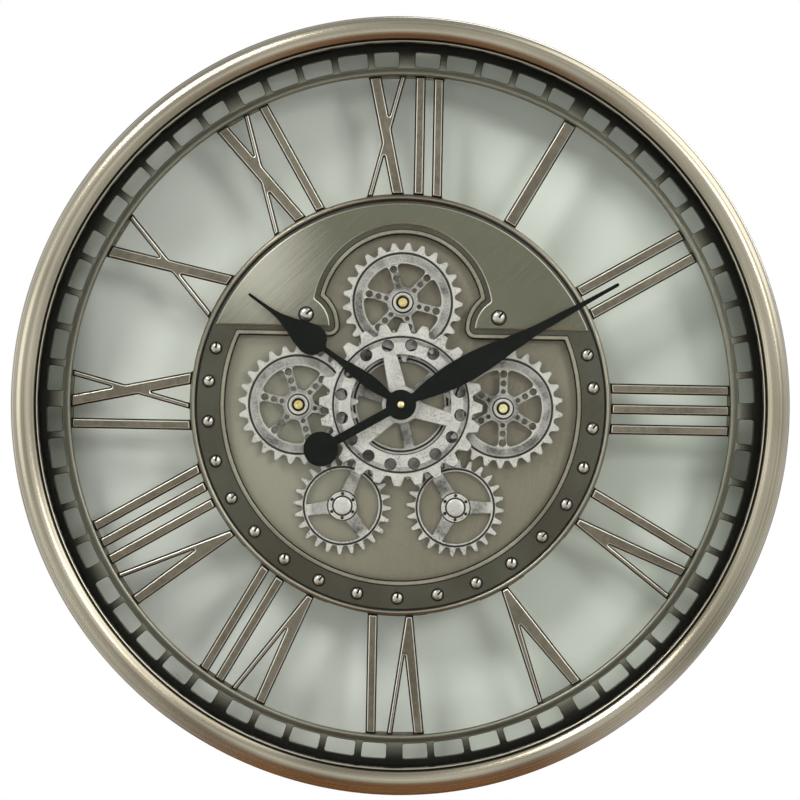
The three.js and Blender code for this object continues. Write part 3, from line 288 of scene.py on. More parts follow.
class Bench:
    """The modelling bench: lays out outlines, raises or turns them, and finishes the meshes."""

    SMOOTH = math.radians(28)
    MERGE = 2e-6

    @staticmethod
    def clear() -> None:
        """Leaves edit mode and deselects everything."""
        if bpy.context.object and bpy.context.object.mode != "OBJECT":
            bpy.ops.object.mode_set(mode="OBJECT")
        bpy.ops.object.select_all(action="DESELECT")

    def pick(self, *pieces: Piece) -> None:
        """Selects some pieces and nothing else.

        Args:
            pieces: The pieces, of which the first one becomes active.
        """
        self.clear()
        for piece in pieces:
            piece.select_set(True)
        bpy.context.view_layer.objects.active = pieces[0]

    def wire(self, places: Sequence[Vector]) -> Piece:
        """Lays a closed wire loop.

        Args:
            places: The places that it runs through, in the frame.

        Returns:
            The loop, a mesh without faces.
        """
        self.clear()
        bpy.ops.mesh.primitive_circle_add(vertices=len(places), radius=MM, fill_type="NOTHING")
        loop = bpy.context.object
        loop.data.vertices.foreach_set("co", [value for place in places for value in place])
        loop.data.update()
        return loop

    def join(self, name: str, parts: Sequence[Piece]) -> Piece:
        """Makes one piece of several.

        Args:
            name: Name of the joined piece.
            parts: The pieces, of which the first one is kept.

        Returns:
            The joined piece.
        """
        self.pick(*parts)
        if len(parts) > 1:
            bpy.ops.object.join()
        parts[0].name = parts[0].data.name = name
        return parts[0]

    def smooth(self, piece: Piece) -> None:
        """Shades a piece smooth where its faces meet at small angles."""
        self.pick(piece)
        bpy.ops.object.shade_smooth_by_angle(angle=self.SMOOTH)

    def plate(self, name: str, outline: Outline, back: float, front: float,
              holes: Sequence[Outline] = (), edge: Sequence[Point] = ((0.3, 0.3),),
              cap: Cap = Cap.FILL) -> Piece:
        """Raises a flat piece with holes from an outline and eases its front edges.

        Args:
            name: Name of the piece.
            outline: Its outline on the dial.
            back: Level of its back.
            front: Level of its front.
            holes: Outlines of its holes.
            edge: Steps of the eased edge, each with its width and its rise.
            cap: How the outline is closed.

        Returns:
            The piece.
        """
        loops = [self.wire([dial(x, y, back) for x, y in loop]) for loop in [outline, *holes]]
        piece = self.join(name, loops)
        bpy.ops.object.mode_set(mode="EDIT")
        bpy.ops.mesh.select_all(action="SELECT")
        if cap is Cap.FACE:
            bpy.ops.mesh.edge_face_add()
        else:
            bpy.ops.mesh.fill(use_beauty=True)
        rise = front - back - sum(step[1] for step in edge)
        bpy.ops.mesh.extrude_region_move(TRANSFORM_OT_translate={"value": (0, -rise * MM, 0)})
        for width, height in edge:
            bpy.ops.mesh.normals_make_consistent(inside=False)
            bpy.ops.mesh.inset(thickness=width * MM, depth=0.0, use_even_offset=True)
            bpy.ops.transform.translate(value=(0, -height * MM, 0))
        bpy.ops.mesh.region_to_loop()
        bpy.ops.mesh.mark_sharp()
        bpy.ops.mesh.select_mode(type="VERT")
        bpy.ops.mesh.select_all(action="SELECT")
        bpy.ops.mesh.normals_make_consistent(inside=False)
        bpy.ops.object.mode_set(mode="OBJECT")
        self.smooth(piece)
        return piece

    def lathe(self, name: str, profile: Sequence[Point], steps: int, centre: Point = (0.0, 0.0),
              run: Run = Run.RING, axis: Axis = Axis.DIAL) -> Piece:
        """Turns a profile, closes its seam and turns its faces outwards.

        Args:
            name: Name of the piece.
            profile: Pairs of radius and level, or across the dial pairs of distance and radius.
            steps: Facets of a full turn.
            centre: Where the line crosses the dial, or the height and level of a line across it.
            run: Whether the profile closes on itself or ends on the line.
            axis: The line that the profile is turned about.

        Returns:
            The piece.
        """
        if axis is Axis.DIAL:
            middle = dial(*centre, 0.0)
            places = [dial(centre[0] + radius, centre[1], level) for radius, level in profile]
        else:
            middle = dial(0.0, *centre)
            places = [dial(x, centre[0] + radius, centre[1]) for x, radius in profile]
        piece = self.join(name, [self.wire(places)])
        bpy.ops.object.mode_set(mode="EDIT")
        if run is Run.SOLID:
            bpy.ops.mesh.select_all(action="DESELECT")
            bpy.ops.object.mode_set(mode="OBJECT")
            ends = {0, len(places) - 1}
            for edge in piece.data.edges:
                edge.select = set(edge.vertices) == ends
            bpy.ops.object.mode_set(mode="EDIT")
            bpy.ops.mesh.select_mode(type="EDGE")
            bpy.ops.mesh.delete(type="EDGE")
        bpy.ops.mesh.select_all(action="SELECT")
        bpy.ops.mesh.spin(steps=steps, angle=2 * math.pi, center=middle, axis=axis.value)
        bpy.ops.mesh.select_all(action="SELECT")
        bpy.ops.mesh.remove_doubles(threshold=self.MERGE)
        bpy.ops.mesh.normals_make_consistent(inside=False)
        bpy.ops.mesh.select_mode(type="VERT")
        bpy.ops.object.mode_set(mode="OBJECT")
        self.smooth(piece)
        return piece

    def cut(self, piece: Piece, tool: Piece) -> Piece:
        """Cuts a tool's shape out of a piece and removes the tool.

        Args:
            piece: The piece.
            tool: What is cut out of it.

        Returns:
            The cut piece.
        """
        self.pick(piece)
        modifier = piece.modifiers.new("cut", "BOOLEAN")
        modifier.operation, modifier.solver, modifier.object = "DIFFERENCE", "EXACT", tool
        bpy.ops.object.modifier_apply(modifier=modifier.name)
        bpy.data.objects.remove(tool)
        self.smooth(piece)
        return piece

    @staticmethod
    def spread(model: Piece, spots: Sequence[Matrix]) -> list[Piece]:
        """Copies a model to some spots, each copy with its own mesh, and removes the model.

        Args:
            model: The modelled piece.
            spots: Where its copies go, in the frame's metres.

        Returns:
            The copies, named for the model and numbered from 1.
        """
        copies = []
        for i, spot in enumerate(spots, 1):
            twin = model.copy()
            twin.data = model.data.copy()
            twin.data.transform(spot)
            twin.name = twin.data.name = f"{model.name}_{i}"
            bpy.context.scene.collection.objects.link(twin)
            copies.append(twin)
        bpy.data.objects.remove(model)
        return copies


def moved(x: float, y: float, turn: float = 0.0) -> Matrix:
    """A move across the dial, after a turn in degrees about the dial's centre."""
    return Matrix.Translation(dial(x, y, 0.0)) @ Matrix.Rotation(-math.radians(turn), 4, "Y")


class Value:
    """A number of a shader, which Python's operators join by Math nodes."""

    PLATEAU = 0.45

    def __init__(self, graph: "Graph", socket: Socket) -> None:
        """Wraps a socket of a graph."""
        self.graph, self.socket = graph, socket

    def _math(self, operation: str, *terms: "Term") -> "Value":
        """Adds one Math node."""
        made = self.graph.node("ShaderNodeMath", {"operation": operation}, dict(enumerate(terms)))
        return Value(self.graph, made.outputs[0])

    def __add__(self, other: "Term") -> "Value":
        """This number plus another."""
        return self._math("ADD", self, other)

    __radd__ = __add__

    def __sub__(self, other: "Term") -> "Value":
        """This number less another."""
        return self._math("SUBTRACT", self, other)

    def __rsub__(self, other: "Term") -> "Value":
        """Another number less this one."""
        return self._math("SUBTRACT", other, self)

    def __mul__(self, other: "Term") -> "Value":
        """This number times another."""
        return self._math("MULTIPLY", self, other)

    __rmul__ = __mul__

    def __truediv__(self, other: "Term") -> "Value":
        """This number over another."""
        return self._math("DIVIDE", self, other)

    def __rtruediv__(self, other: "Term") -> "Value":
        """Another number over this one."""
        return self._math("DIVIDE", other, self)

    def __abs__(self) -> "Value":
        """This number without its sign."""
        return self._math("ABSOLUTE", self)

    def root(self) -> "Value":
        """The square root of this number."""
        return self._math("SQRT", self)

    def wave(self, function: str) -> "Value":
        """The sine or cosine of this number."""
        return self._math(function, self)

    def wrapped(self, low: float, high: float) -> "Value":
        """This number brought between two bounds by whole turns."""
        return self._math("WRAP", self, high, low)

    def bearing(self, across: "Term") -> "Value":
        """The angle of a point this far up and another number across, in radians."""
        return self._math("ARCTAN2", self, across)

    def larger(self, other: "Term") -> "Value":
        """The larger of this number and another."""
        return self._math("MAXIMUM", self, other)

    def step(self, low: float, high: float) -> "Value":
        """Rises softly from 0 to 1 between two values, or falls if the first one is the higher."""
        made = self.graph.node(
            "ShaderNodeMapRange",
            {"interpolation_type": "SMOOTHSTEP"},
            {"Value": self, "From Min": low, "From Max": high},
        )
        return Value(self.graph, made.outputs[0])

    def near(self, place: float, reach: float) -> "Value":
        """1 close to a value, falling softly to 0 at a reach to either side."""
        return abs(self - place).step(reach, reach * self.PLATEAU)


Term = Union[Value, float]


class Graph:
    """The node graph of a material or of the world."""

    def __init__(self, owner: Union[Material, bpy.types.World]) -> None:
        """Starts an empty graph.

        Args:
            owner: The material or the world that the graph paints.
        """
        owner.use_nodes = True
        self.tree = owner.node_tree
        self.tree.nodes.clear()

    def node(self, kind: str, settings: Optional[dict] = None, inputs: Optional[dict] = None) -> bpy.types.Node:
        """Adds a node.

        Args:
            kind: Type of the node.
            settings: Its settings, which are set first.
            inputs: Values or links of its sockets, by name or number.

        Returns:
            The node.
        """
        made = self.tree.nodes.new(kind)
        for key, setting in (settings or {}).items():
            setattr(made, key, setting)
        for key, given in (inputs or {}).items():
            given = given.socket if isinstance(given, Value) else given
            if isinstance(given, Socket):
                self.tree.links.new(given, made.inputs[key])
            else:
                made.inputs[key].default_value = given
        return made

    def parts(self, vector: Socket) -> tuple[Value, Value, Value]:
        """The three numbers of a vector."""
        made = self.node("ShaderNodeSeparateXYZ", None, {0: vector}).outputs
        return Value(self, made[0]), Value(self, made[1]), Value(self, made[2])

    def either(self, factor: Term, first: bpy.types.Node, second: bpy.types.Node) -> bpy.types.Node:
        """A shader between two, by a factor."""
        return self.node("ShaderNodeMixShader", None, {0: factor, 1: first.outputs[0], 2: second.outputs[0]})


class Coat(Graph):
    """The graph of one material, which knows the place on the dial in millimetres."""

    def __init__(self, name: str) -> None:
        """Starts an empty material.

        Args:
            name: Name of the material.
        """
        self.material = bpy.data.materials.new(name)
        super().__init__(self.material)
        self.place = self.node("ShaderNodeTexCoord").outputs["Object"]
        x, y, z = self.parts(self.place)
        self.across, self.level, self.up = x * (1 / MM), y * (-1 / MM), z * (1 / MM)

    def radius(self, centre: Point = (0.0, 0.0)) -> Value:
        """Distance from a line square to the dial, in millimetres."""
        x, y = self.across - centre[0], self.up - centre[1]
        return (x * x + y * y).root()

    def angle(self, centre: Point = (0.0, 0.0)) -> Value:
        """Angle round a centre of the dial, in radians."""
        return (self.up - centre[1]).bearing(self.across - centre[0])

    def facing(self) -> Value:
        """1 where the surface lies in the dial's plane, 0 where it stands square to it."""
        normal = self.node("ShaderNodeNewGeometry").outputs["True Normal"]
        return abs(self.parts(normal)[1])

    def vector(self, x: Term, y: Term, z: Term) -> Socket:
        """A vector of three numbers."""
        return self.node("ShaderNodeCombineXYZ", None, {0: x, 1: y, 2: z}).outputs[0]

    def noise(self, scale: float, detail: float = 2.0, rough: float = 0.5,
              vector: Optional[Socket] = None) -> Value:
        """Soft noise.

        Args:
            scale: Size of the noise, larger for finer.
            detail: Octaves.
            rough: Weight of the finer octaves.
            vector: Where it is read, or the place on the object in metres.

        Returns:
            The noise, about 0.5.
        """
        inputs = {"Vector": vector or self.place, "Scale": scale, "Detail": detail, "Roughness": rough}
        return Value(self, self.node("ShaderNodeTexNoise", None, inputs).outputs[0])

    def mix(self, factor: Term, first: Union[Colour, Socket],
            second: Union[Colour, Socket]) -> Socket:
        """A colour between two, by a factor.

        Args:
            factor: 0 for the first colour, 1 for the second.
            first: A colour or a link.
            second: A colour or a link.

        Returns:
            The mixed colour.
        """
        # The colours are the node's sockets 6 and 7, and its output 2.
        ends = [(*end, 1.0) if isinstance(end, tuple) else end for end in (first, second)]
        made = self.node("ShaderNodeMix", {"data_type": "RGBA"}, {0: factor, 6: ends[0], 7: ends[1]})
        return made.outputs[2]

    def bump(self, height: Value, strength: float, distance: float) -> Socket:
        """A normal that follows a height from 0 to 1, with a height of 1 in millimetres."""
        inputs = {"Strength": strength, "Distance": distance * MM, "Height": height}
        return self.node("ShaderNodeBump", None, inputs).outputs[0]

    def surface(self, **inputs: object) -> Material:
        """Ends the graph in a Principled shader.

        Args:
            inputs: Its sockets, with _ for each space of a name.

        Returns:
            The material.
        """
        given = {name.replace("_", " "): value for name, value in inputs.items()}
        if "Base Color" in given and isinstance(given["Base Color"], tuple):
            given["Base Color"] = (*given["Base Color"], 1.0)
        shader = self.node("ShaderNodeBsdfPrincipled", None, given)
        self.node("ShaderNodeOutputMaterial", None, {"Surface": shader.outputs[0]})
        return self.material


class HoleRing(NamedTuple):
    """Round holes in a ring: how many, how far out, their radius and the angle of the first one."""

    count: int
    distance: float
    radius: float
    start: float


# The near-black below is the dark patina of the gears' grooves, and also painted shade on walls, in low places and
# round the bezel.
SILVER, SOOT_AND_SHADE = tone(210, 209, 199), tone(30, 29, 23)
TONES = (0.32, 0.68)


@dataclass(frozen=True)
class Finish:
    """What all finishes have: a name, a main colour, a colour in recesses, roughness and metalness."""

    name: str
    main: Colour
    recess: Colour
    rough: float
    metal: float
    painted: ClassVar[dict[str, Material]] = {}

    def material(self) -> Material:
        """The finish as a material, painted once.

        Returns:
            The material.
        """
        if self.name not in self.painted:
            self.painted[self.name] = self.paint(Coat(self.name))
        return self.painted[self.name]

    def paint(self, graph: Coat) -> Material:
        """Paints the finish into a graph; each kind of finish does so in its own way."""
        raise NotImplementedError


@dataclass(frozen=True)
class TurnedMetal(Finish):
    """Metal turned on a lathe: fine rings round the dial, a worn tone, walls darkened as painted shade, and
    painted shade to one side of a radius.
    """

    rings: float = 1.2
    spread: float = 0.35
    wall: float = 0.55
    painted_shade: Optional[Point] = None
    seam: Optional[tuple[Point, Point]] = None
    bead: Optional[tuple[Point, Point]] = None
    sweep: float = 0.15
    lean: Point = (0.55, 0.15)
    shade_share: float = 0.94
    bead_share: float = 0.8
    seam_gain: float = 1.6

    def paint(self, graph: Coat) -> Material:
        """Paints rings by radius and level, a slow change of tone, and painted shade, near black, to one side of a
        radius.

        Args:
            graph: The graph of the material.

        Returns:
            The material.
        """
        around = abs(graph.angle()) * self.sweep
        reach = graph.vector(graph.radius() * self.rings, graph.level * self.rings, around)
        rings = graph.noise(1.0, detail=4.0, rough=0.65, vector=reach)
        slow = graph.noise(9.0)
        lightened = (rings * 0.75 + slow * 0.5 - 0.12).step(0.5 - self.spread, 0.5 + self.spread)
        body = graph.mix(lightened, self.recess, self.main)
        # Walls that stand square to the dial are darkened towards the recess colour as painted shade.
        wall = graph.facing().step(*self.lean) * self.wall
        colour = graph.mix(wall, body, self.recess)
        # Painted shade: near black to one side of a radius, where the bezel shades the chapter ring's outer part
        # and its own inside.
        if self.painted_shade:
            colour = graph.mix(graph.radius().step(*self.painted_shade) * self.shade_share, colour, SOOT_AND_SHADE)
        # The bezel's lip bead keeps the main colour, a thin line left out of the painted shade.
        if self.bead:
            bead = graph.radius().near(*self.bead[0]) * graph.level.step(*self.bead[1])
            colour = graph.mix(bead * self.bead_share, colour, self.main)
        # Painted shade in the groove where the bezel meets the case.
        if self.seam:
            seam = graph.radius().near(*self.seam[0]) * graph.level.near(*self.seam[1])
            colour = graph.mix((seam * self.seam_gain).step(0.0, 1.0), colour, SOOT_AND_SHADE)
        gloss = self.rough + (rings - 0.5) * 0.25
        return graph.surface(
            Base_Color=colour, Roughness=gloss, Metallic=self.metal,
            Normal=graph.bump(rings, strength=0.12, distance=0.05),
        )


@dataclass(frozen=True)
class EdgedMetal(Finish):
    """Raised letters: a plain face inside a bright edge, partly wear and partly a painted highlight, with sides
    darkened as painted shade.
    """

    edge: Colour = (0.5, 0.5, 0.5)
    edge_facing: float = 0.89
    edge_reach: float = 0.09
    edge_share: float = 0.85
    side: Point = (0.08, 0.16)

    def paint(self, graph: Coat) -> Material:
        """Paints the face, the bright edge of wear and painted highlight, and the sides of painted shade, by how
        far they lean from the dial.

        Args:
            graph: The graph of the material.

        Returns:
            The material.
        """
        grain, cloud = graph.noise(260.0, detail=3.0, rough=0.6), graph.noise(20.0)
        body = graph.mix((grain * 0.45 + cloud * 0.55).step(*TONES), self.recess, self.main)
        facing = graph.facing()
        # The edge is lightened, partly as wear and partly as a painted highlight; the sides are darkened as
        # painted shade.
        lightened = facing.near(self.edge_facing, self.edge_reach) * self.edge_share
        side = facing.step(self.edge_facing - self.side[0], self.edge_facing - self.side[1])
        colour = graph.mix(side, graph.mix(lightened, body, self.edge), SOOT_AND_SHADE)
        return graph.surface(
            Base_Color=colour, Roughness=self.rough + (grain - 0.5) * 0.2, Metallic=self.metal,
            Normal=graph.bump(grain, strength=0.1, distance=0.06),
        )


@dataclass(frozen=True)
class BrushedMetal(Finish):
    """Sheet metal brushed along one line, with a painted highlight in one place."""

    along: float = 0.0
    highlight_at: Point = (0.0, 0.0)
    highlight_reach: float = 1.0
    # The colour of the painted highlight, on the patch and on the edges.
    light: Colour = (0.5, 0.5, 0.5)
    edge_facing: float = 0.82
    edge_reach: float = 0.12
    edge_share: float = 0.7
    stretch: Trio = (0.02, 2.2, 0.5)
    ragged: Point = (60.0, 30.0)
    lean: Point = (0.6, 0.3)
    shade_share: float = 0.95

    def paint(self, graph: Coat) -> Material:
        """Paints long streaks, one painted highlight patch, edges lightened as painted highlight, and walls
        darkened as painted shade.

        Args:
            graph: The graph of the material.

        Returns:
            The material.
        """
        cos, sin = math.cos(math.radians(self.along)), math.sin(math.radians(self.along))
        length = graph.across * cos + graph.up * sin
        width = graph.up * cos - graph.across * sin
        lengthwise, crosswise, deep = self.stretch
        drawn = graph.vector(length * lengthwise, width * crosswise, graph.level * deep)
        streaks = graph.noise(1.0, detail=4.0, rough=0.7, vector=drawn)
        cloud = graph.noise(14.0, detail=3.0)
        grain = graph.noise(1100.0, rough=0.6)
        body = graph.mix((streaks * 0.45 + cloud * 0.25 + grain * 0.3).step(*TONES), self.recess, self.main)
        edge = (streaks - 0.5) * self.ragged[0]
        # A painted highlight: the sheet is lightened in a ragged patch round one place.
        painted_highlight = (graph.radius(self.highlight_at) + edge + (cloud - 0.5) * self.ragged[1]).step(self.highlight_reach, 0.0)
        colour = graph.mix(painted_highlight, body, self.light)
        facing = graph.facing()
        # Painted highlight along the edges.
        colour = graph.mix(facing.near(self.edge_facing, self.edge_reach) * self.edge_share, colour, self.light)
        # Walls darkened as painted shade.
        colour = graph.mix(facing.step(*self.lean) * self.shade_share, colour, SOOT_AND_SHADE)
        return graph.surface(
            Base_Color=colour, Roughness=self.rough + (streaks - 0.5) * 0.2, Metallic=self.metal,
            Normal=graph.bump(streaks * 0.6 + grain * 0.4, strength=0.2, distance=0.05), Anisotropic=0.5,
        )


@dataclass(frozen=True)
class AgedSilver(Finish):
    """Silver paint rubbed with black: speckled and dark in its grooves, with walls and low places darkened as
    painted shade.
    """

    centre: Point = (0.0, 0.0)
    grooves: tuple[Point, ...] = ()
    speckle: float = 0.5
    stain: tuple[Point, ...] = ()
    drilled: tuple[HoleRing, ...] = ()
    sunk: Optional[float] = None
    hole_edge: Point = (0.75, 0.1)
    sunk_reach: float = 0.4
    deep_share: float = 0.96
    wall_share: float = 0.9
    lean: Point = (0.62, 0.2)
    rubbed: float = 0.82

    def paint(self, graph: Coat) -> Material:
        """Paints speckle, dark lines at the grooves, stains over bands, darker rings round holes, and painted
        shade in low places and on walls.

        Args:
            graph: The graph of the material.

        Returns:
            The material.
        """
        radius, angle = graph.radius(self.centre), graph.angle(self.centre)
        patches = graph.noise(55.0, detail=3.0, rough=0.6).step(0.42, 0.68)
        grain = graph.noise(820.0, detail=3.0, rough=0.7).step(0.45, 0.66)
        # This mask starts as real speckled grime; below it also gathers groove patina, stains and painted shade.
        dirt_and_shade = (patches * 0.7 + 0.3) * grain * self.speckle
        # A darker ring round each drilled hole.
        for count, distance, hole, start in self.drilled:
            share = math.pi / count
            sector = (angle - math.radians(start)).wrapped(-share, share)
            x, y = radius * sector.wave("COSINE") - distance, radius * sector.wave("SINE")
            edge = (x * x + y * y).root().step(hole + self.hole_edge[0], hole + self.hole_edge[1])
            dirt_and_shade = dirt_and_shade.larger(edge * self.wall_share)
        for place, reach in self.grooves:
            dirt_and_shade = dirt_and_shade.larger(radius.near(place, reach) * self.deep_share)
        for place, reach in self.stain:
            dirt_and_shade = dirt_and_shade.larger(radius.near(place, reach) * (0.34 + patches * 0.4 + grain * 0.22))
        # Painted shade below a level, such as the floor of a screw's slot.
        if self.sunk is not None:
            dirt_and_shade = dirt_and_shade.larger(graph.level.step(self.sunk + self.sunk_reach, self.sunk) * self.deep_share)
        # Painted shade on walls and on the lower sides of a screw's dome.
        dirt_and_shade = dirt_and_shade.larger(graph.facing().step(*self.lean) * self.wall_share)
        shade = graph.noise(120.0)
        rub = graph.mix(shade.step(0.3, 0.75), tuple(value * self.rubbed for value in self.main), self.main)
        colour = graph.mix(dirt_and_shade, rub, self.recess)
        return graph.surface(
            Base_Color=colour, Roughness=self.rough + dirt_and_shade * 0.3, Metallic=self.metal,
            Normal=graph.bump(graph.noise(700.0, detail=3.0, rough=0.6), strength=0.22, distance=0.12),
        )


@dataclass(frozen=True)
class SatinPaint(Finish):
    """Paint with a fine grain, its walls a little darker."""

    grain: float = 600.0
    lift: float = 0.1
    shine: float = 0.5

    def paint(self, graph: Coat) -> Material:
        """Paints a slow cloud of tone over a fine grain.

        Args:
            graph: The graph of the material.

        Returns:
            The material.
        """
        grain = graph.noise(self.grain, detail=3.0, rough=0.6)
        cloud = graph.noise(18.0, detail=3.0)
        body = graph.mix((cloud * 0.7 + grain * 0.3).step(*TONES), self.recess, self.main)
        return graph.surface(
            Base_Color=body, Roughness=self.rough + (grain - 0.5) * 0.2, Metallic=self.metal,
            Normal=graph.bump(grain, self.lift, distance=0.08), Specular_IOR_Level=self.shine,
        )


@dataclass(frozen=True)
class CellWrap(Finish):
    """A round cell: printed wrap between two bare metal ends."""

    ends: Point = (-1.0, 1.0)
    metal_tone: Colour = (0.6, 0.6, 0.6)
    band: float = 0.3
    seam: float = 0.004
    bare: Point = (0.476, 0.484)

    def paint(self, graph: Coat) -> Material:
        """Paints the wrap with a band of the second colour, and the ends as metal.

        Args:
            graph: The graph of the material.

        Returns:
            The material.
        """
        low, high = self.ends
        share = (graph.across - low) / (high - low)
        band = share.step(self.band - self.seam, self.band + self.seam)
        body = graph.mix(band, self.recess, self.main)
        bare = abs(share - 0.5).step(*self.bare)
        scuff = graph.noise(260.0, detail=3.0)
        colour = graph.mix(bare, body, self.metal_tone)
        return graph.surface(
            Base_Color=colour, Roughness=self.rough + (scuff - 0.5) * 0.25, Metallic=bare * 0.9 + self.metal,
            Normal=graph.bump(scuff, strength=0.05, distance=0.05),
        )


@dataclass(frozen=True)
class ClearGlass(Finish):
    """Plain window glass, seen through with little reflection."""

    alpha: float = 0.05
    flat_alpha: float = 0.12

    def paint(self, graph: Coat) -> Material:
        """Paints a thin film of gloss over a clear pane, a little denser at a flat angle.

        Args:
            graph: The graph of the material.

        Returns:
            The material.
        """
        edge = Value(graph, graph.node("ShaderNodeLayerWeight", None, {"Blend": 0.3}).outputs["Facing"])
        haze = graph.noise(6.0)
        return graph.surface(
            Base_Color=self.main, Roughness=self.rough + haze * 0.02, Metallic=self.metal,
            Alpha=self.alpha + edge * self.flat_alpha, IOR=1.45,
        )


# Painted shade inside the bezel's lip and in the groove at the case's seam; the lip's bead keeps the main colour.
CASE_METAL = TurnedMetal(
    "case_pewter", tone(190, 184, 164), tone(92, 84, 68), rough=0.26, metal=0.9, rings=0.5, spread=0.4, wall=0.2,
    painted_shade=(239.9, 238.9), seam=((254.2, 2.0), (32.4, 3.4)), bead=((237.9, 0.9), (58.3, 58.9)),
)
# Painted shade: the chapter ring darkens to near black from inside its windows out to its rim, where the bezel
# shades it.
CHAPTER_METAL = TurnedMetal(
    "chapter_pewter", tone(148, 148, 131), tone(92, 90, 76), rough=0.36, metal=0.8, rings=0.8, spread=0.5,
    wall=0.3, painted_shade=(221.0, 235.5),
)
# The letters' bright edge tone is partly wear and partly a painted highlight.
LETTER_METAL = EdgedMetal(
    "letter_pewter", tone(122, 117, 101), tone(92, 87, 73), rough=0.38, metal=0.75, edge=tone(222, 218, 202),
)
RIM_METAL = TurnedMetal(
    "rim_pewter", tone(168, 164, 146), tone(96, 92, 76), rough=0.32, metal=0.9, rings=1.2, spread=0.5, wall=0.4,
)
# The top sheet has a painted highlight towards its upper left.
TOP_SHEET = BrushedMetal(
    "top_sheet", tone(111, 111, 94), tone(92, 92, 76), rough=0.36, metal=0.8, along=44.0, highlight_at=(-101.0, 92.0),
    highlight_reach=66.0, light=tone(182, 181, 165),
)
# The gear bed is painted lighter towards the left, a painted highlight.
GEAR_BED = BrushedMetal(
    "gear_bed", tone(138, 133, 114), tone(116, 112, 94), rough=0.45, metal=0.5, along=80.0, highlight_at=(-96.0, -18.0),
    highlight_reach=150.0, light=tone(152, 151, 132),
)
BAND_PAINT = SatinPaint(
    "band_satin", tone(80, 80, 66), tone(64, 61, 48), rough=0.42, metal=0.5, grain=420.0, lift=0.08,
)
BORDER_METAL = SatinPaint(
    "border_metal", tone(158, 154, 135), tone(126, 122, 104), rough=0.38, metal=0.75, grain=380.0, lift=0.12,
)
BRIGHT_STEEL = SatinPaint(
    "bright_steel", tone(214, 211, 200), tone(168, 164, 150), rough=0.26, metal=0.9, grain=500.0, lift=0.08,
)
# The screws' dark tone is painted shade in their slots and round their domes' lower sides.
SCREW_STEEL = AgedSilver(
    "screw_steel", tone(188, 185, 174), tone(22, 21, 17), rough=0.28, metal=0.9, speckle=0.3,
)
BRASS = SatinPaint(
    "worn_brass", tone(240, 229, 176), tone(214, 194, 126), rough=0.3, metal=0.85, grain=420.0, lift=0.1,
)
HAND_BLACK = SatinPaint(
    "hand_matte", tone(18, 22, 17), tone(11, 14, 10), rough=0.6, metal=0.0, grain=1500.0, lift=0.3, shine=0.1,
)
BLACK_TRIM = SatinPaint(
    "trim_matte", tone(20, 20, 18), tone(13, 13, 12), rough=0.6, metal=0.0, grain=700.0, lift=0.15, shine=0.2,
)
WORKS_GREY = SatinPaint(
    "works_moulded_grey", tone(74, 74, 72), tone(60, 60, 58), rough=0.55, metal=0.0, grain=900.0, lift=0.25,
)
KNOB_GREY = SatinPaint(
    "knob_grey", tone(112, 112, 108), tone(92, 92, 88), rough=0.5, metal=0.0, grain=900.0, lift=0.2,
)
WORKS_WHITE = SatinPaint(
    "works_moulded_white", tone(226, 223, 212), tone(204, 200, 188), rough=0.45, metal=0.0, grain=800.0, lift=0.15,
)
GLASS = ClearGlass(
    "pane_glass", (0.012, 0.014, 0.013), (0.01, 0.01, 0.01), rough=0.02, metal=0.0, alpha=0.02,
)


@dataclass
class SubAssembly:
    """A group of pieces that are built together on the bench."""

    bench: Bench

    def settle(self, piece: Piece, body: Body, slot: Slot, finish: Finish, *nodes: str) -> None:
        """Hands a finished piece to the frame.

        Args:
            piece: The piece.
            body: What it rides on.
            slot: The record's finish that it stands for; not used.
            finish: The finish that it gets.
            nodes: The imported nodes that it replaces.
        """
        piece.data.materials.clear()
        piece.data.materials.append(finish.material())
        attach(piece, body.value)
        if nodes:
            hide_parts(*nodes)
        LOG.info("%s: %d faces, %s", piece.name, len(piece.data.polygons), finish.name)

    @staticmethod
    def dress(finish: Finish, *nodes: str) -> None:
        """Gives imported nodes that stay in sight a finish.

        Args:
            finish: The finish.
            nodes: The nodes.
        """
        for name in nodes:
            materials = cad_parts[name].data.materials
            materials.clear()
            materials.append(finish.material())
            LOG.info("%s: %s", name, finish.name)


